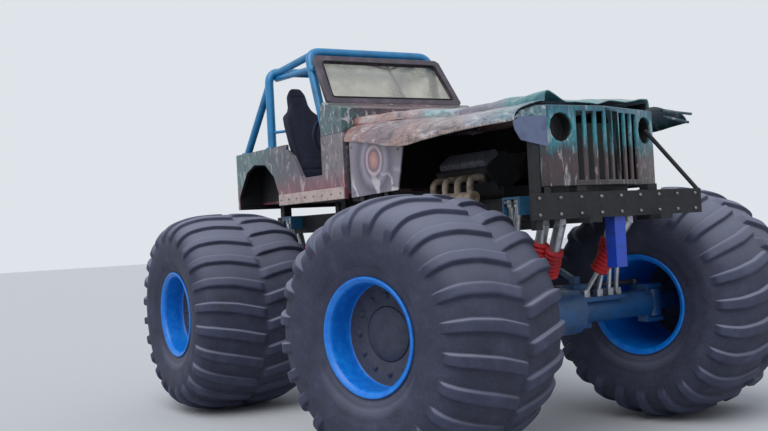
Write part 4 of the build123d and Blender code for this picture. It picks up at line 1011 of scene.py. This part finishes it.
# Black rubber of the strip round the pane: matt, with dust in its edge
strip_rubber = dusty_enamel("black_strip_rubber", "#101014", "#1c1c20", "#55534f",
                            roughness=0.7, coat=0, dust_share=0.3)
# Middle of the screen's foot, and the slope of its plane upwards
screen_foot = np.array([-0.4489, 0, 2.514])
screen_up = np.array([-0.5616, 0, 0.8274])
# Opening in the screen's plane: side, height along the screen
opening = [(0, 0.064), (0.598, 0.064), (0.564, 0.465), (-0.564, 0.465), (-0.598, 0.064), (0, 0.064)]
corners = [screen_foot + screen_up * up + (0.001, side, 0.001) for side, up in opening]
strip = tube(eased_path(corners, 0.03)[:-1], 0.006, 8, closed=True)
mesh = surface("windscreen_strip", strip, round_rows=True, round_columns=True)
add_piece(mesh, strip_rubber)

# The roll cage is bent and welded steel tube in the truck's teal-blue enamel: a main hoop on
# bolted foot plates, a front hoop that leans back, roof rails, braces and a lower pair of rails.
cage_enamel = dusty_enamel("teal_blue_cage_enamel", "#0b7ab2", "#0b6391", "#6d95ad",
                           roughness=0.3, coat=0.4, patch_mm=140, dust_share=0.25)
cage_radius, cage_bend = 0.038, 0.11
hoop_x, hoop_side, hoop_top = -1.505, 0.686, 2.925
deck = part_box("tub")[1].z
# Corners of the two hoops' left halves, from the middle down
left_hoop = [(hoop_x, hoop_side, hoop_top), (hoop_x, hoop_side, deck + 0.01)]
left_front = [(-0.873, 0.608, 3.0), (-0.528, 0.575, 1.83)]
cage_paths = []
for left in (left_hoop, left_front):
    right = [(x, -y, z) for x, y, z in reversed(left)]
    cage_paths.append((eased_path(right + left, cage_bend), cage_radius))
# Straight tubes of the left side: start, end, radius
cage_runs = [
    ((hoop_x, 0.626, hoop_top - 0.02), (-0.873, 0.548, 2.99), 0.032),
    ((-2.045, hoop_side, deck), (hoop_x, hoop_side, hoop_top - 0.12), 0.034),
    ((hoop_x, 0.61, 2.865), (-0.738, 0.615, 2.8435), 0.026),
]
for start, end, radius in cage_runs:
    for side in (1, -1):
        cage_paths.append((np.linspace(start, end, 5) * (1, side, 1), radius))
# Thin braces: a post behind the windscreen with two arms, and a stub from the hoop to the seat
fork = (-0.79, 0.137, 2.858)
cage_braces = [
    ((-0.873, 0.13, 2.972), (-0.503, 0.16, 2.462), 0.013),
    ((-0.873, 0.5, 2.985), fork, 0.011),
    ((-0.873, -0.34, 2.985), fork, 0.011),
    ((hoop_x, -hoop_side, 2.38), (-1.33, -0.6, 2.38), 0.013),
]
cage_paths += [(np.linspace(start, end, 3), radius) for start, end, radius in cage_braces]
joined_tubes("cage_tubes", cage_paths, cage_enamel, ["roll_cage"], sides=20)
# Foot blocks and plates of the left side: middle, size
cage_feet = [((-0.528, 0.575, 1.81), (0.106, 0.106, 0.06)),
             ((hoop_x, 0.686, deck + 0.005), (0.106, 0.076, 0.01)),
             ((-2.045, 0.686, deck + 0.005), (0.106, 0.076, 0.01))]
feet = bmesh.new()
for middle, size in cage_feet:
    for side in (1, -1):
        place = Matrix.Translation((middle[0], side * middle[1], middle[2]))
        bmesh.ops.create_cube(feet, size=1, matrix=place @ Matrix.Diagonal((*size, 1)))
mesh = bpy.data.meshes.new("cage_feet")
feet.to_mesh(mesh)
feet.free()
add_piece(mesh, cage_enamel, ["roll_cage"])

# The seat is a high-backed racing shell under a stuffed black cover. Its back is sewn in
# channels across its width, between side bolsters; the cushion is plain.
seat_low, seat_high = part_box("seat")
# Black knitted cover over foam: matt, with a soft bluish bloom and worn edges
black_cover = dusty_enamel("black_seat_cloth", "#121729", "#1c2440", "#464c60",
                           roughness=0.85, coat=0, patch_mm=70, dust_share=0.3)
pad_rows, pad_columns, pad_square, seam_depth = 72, 72, 0.45, 0.007


def pillow(centre, half, lean, widths, channels, bolster):
    """A stuffed pad: a ball squared by a power of its sines and cosines, stretched to its half
    sizes, narrowed by widths given as (height share, width share), with sewn channels pressed
    across it and side bolsters pushed forward, and leant back by an angle about Y."""
    down = np.linspace(-np.pi / 2, np.pi / 2, pad_rows)[:, None]
    about = np.linspace(0, 2 * np.pi, pad_columns, endpoint=False)[None, :]

    def squared(value):
        return np.sign(value) * np.abs(value) ** pad_square

    up = squared(np.sin(down)) * np.ones_like(about)
    out = squared(np.cos(down)) * squared(np.sin(about))
    x = squared(np.cos(down)) * squared(np.cos(about)) * half[0]
    y = out * half[1] * np.interp(up, *zip(*widths))
    z = up * half[2]
    if channels:
        sewn = np.abs(np.sin(np.pi * channels * (up + 1) / 2))
        x = x - np.sign(x) * seam_depth * (1 - np.clip(sewn / 0.35, 0, 1)) * (np.abs(out) < 0.7)
    x = x + bolster * smooth_step((np.abs(out) - 0.6) / 0.35) * smooth_step((0.45 - up) / 0.2)
    c, s = math.cos(lean), math.sin(lean)
    return np.stack([x * c - z * s, y, x * s + z * c], axis=-1) + np.array(centre)


seat_mid = (seat_low.y + seat_high.y) / 2
seat_half = (seat_high.y - seat_low.y) / 2
recline = math.radians(19)
# The cushion's length and depth, half the back's height, and how far forward its foot stands
cushion_length, cushion_depth, back_rise, back_foot = 0.39, 0.13, 0.43, 0.045
cushion_top = seat_low.z + cushion_depth
back_x = seat_high.x - cushion_length + back_foot - math.tan(recline) * back_rise
# The back is one shell from hips to head: narrow at the hips, wide at the shoulders, narrow head
shell_widths = ((-1, 0.8), (-0.6, 0.88), (-0.1, 0.97), (0.25, 1), (0.4, 0.9), (0.5, 0.62),
                (0.62, 0.5), (0.85, 0.5), (1, 0.4))
# Name, centre, half sizes, lean, widths, channels, bolster
seat_pads = [
    ("seat_cushion", (seat_high.x - 0.195, seat_mid, seat_low.z + 0.066),
     (0.193, seat_half - 0.002, 0.064), 0, ((-1, 1), (1, 1)), 0, 0),
    ("seat_back", (back_x, seat_mid, cushion_top + back_rise),
     (0.046, seat_half - 0.004, back_rise / math.cos(recline) - 0.004), recline, shell_widths, 9,
     0.035),
]
for name, *shape in seat_pads:
    mesh = surface(name, pillow(*shape), round_columns=True)
    add_piece(mesh, black_cover, ["seat"])

# The steering wheel is a ring with three flat spokes on its column, bound in the seat's black
# cloth.
eased_copy("steering_wheel", black_cover, edge_mm=6)

# Bolt heads hold the plates and panels: hexagons on washers, along the cross panel, the sills,
# the side panels, the shock mounts and the cage's feet.
plate_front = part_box("front_cross_panel")[1].x
rail_low = rail_top - rail_height
rocker_low, rocker_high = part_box("rocker_strips")
sill_x = np.linspace(rocker_low.x + 0.05, rocker_high.x - 0.05, 8)
panel_corners = [(0.035, 1.76), (0.035, 2.11), (0.62, 1.78), (0.7, 2.03)]
mount_x = [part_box("shock_mounts_front")[0].x + 0.09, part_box("shock_mounts_rear")[1].x - 0.09]
# Zinc plate of the bolt heads: dull silver under road film
bolt_zinc = dusty_enamel("dull_zinc_plate", "#8b8c90", "#5f5d5c", "#6f6a64",
                         roughness=0.4, coat=0, patch_mm=30, dust_share=0.35, metallic=0.8)
# Name, places, outward direction, radius
bolt_groups = [("cross_panel_bolts", [(plate_front, y, rail_low + up) for y in
                                      np.linspace(-0.66, 0.66, 9) for up in (0.03, 0.13)],
                (1, 0, 0), 0.009)]
for side, name in ((1, "left"), (-1, "right")):
    bolt_groups += [
        (f"sill_bolts_{name}", [(x, side * rocker_high.y, rocker_low.z + 0.048) for x in sill_x],
         (0, side, 0), 0.008),
        (f"panel_bolts_{name}", [(panel_low.x + x, side * panel_high.y, z) for x, z in
                                 panel_corners], (0, side, 0), 0.008),
        (f"mount_bolts_{name}", [(x + dx, side * 0.48, rail_top - 0.035) for x in mount_x
                                 for dx in (-0.05, 0.05)], (0, side, 0), 0.011),
        (f"cage_foot_bolts_{name}", [(hoop_x + dx, side * 0.705, deck + 0.01) for dx in
                                     (-0.044, 0.044)], (0, 0, 1), 0.007),
    ]
for name, places, outward, radius in bolt_groups:
    bolt_heads(name, places, outward, radius, bolt_zinc)
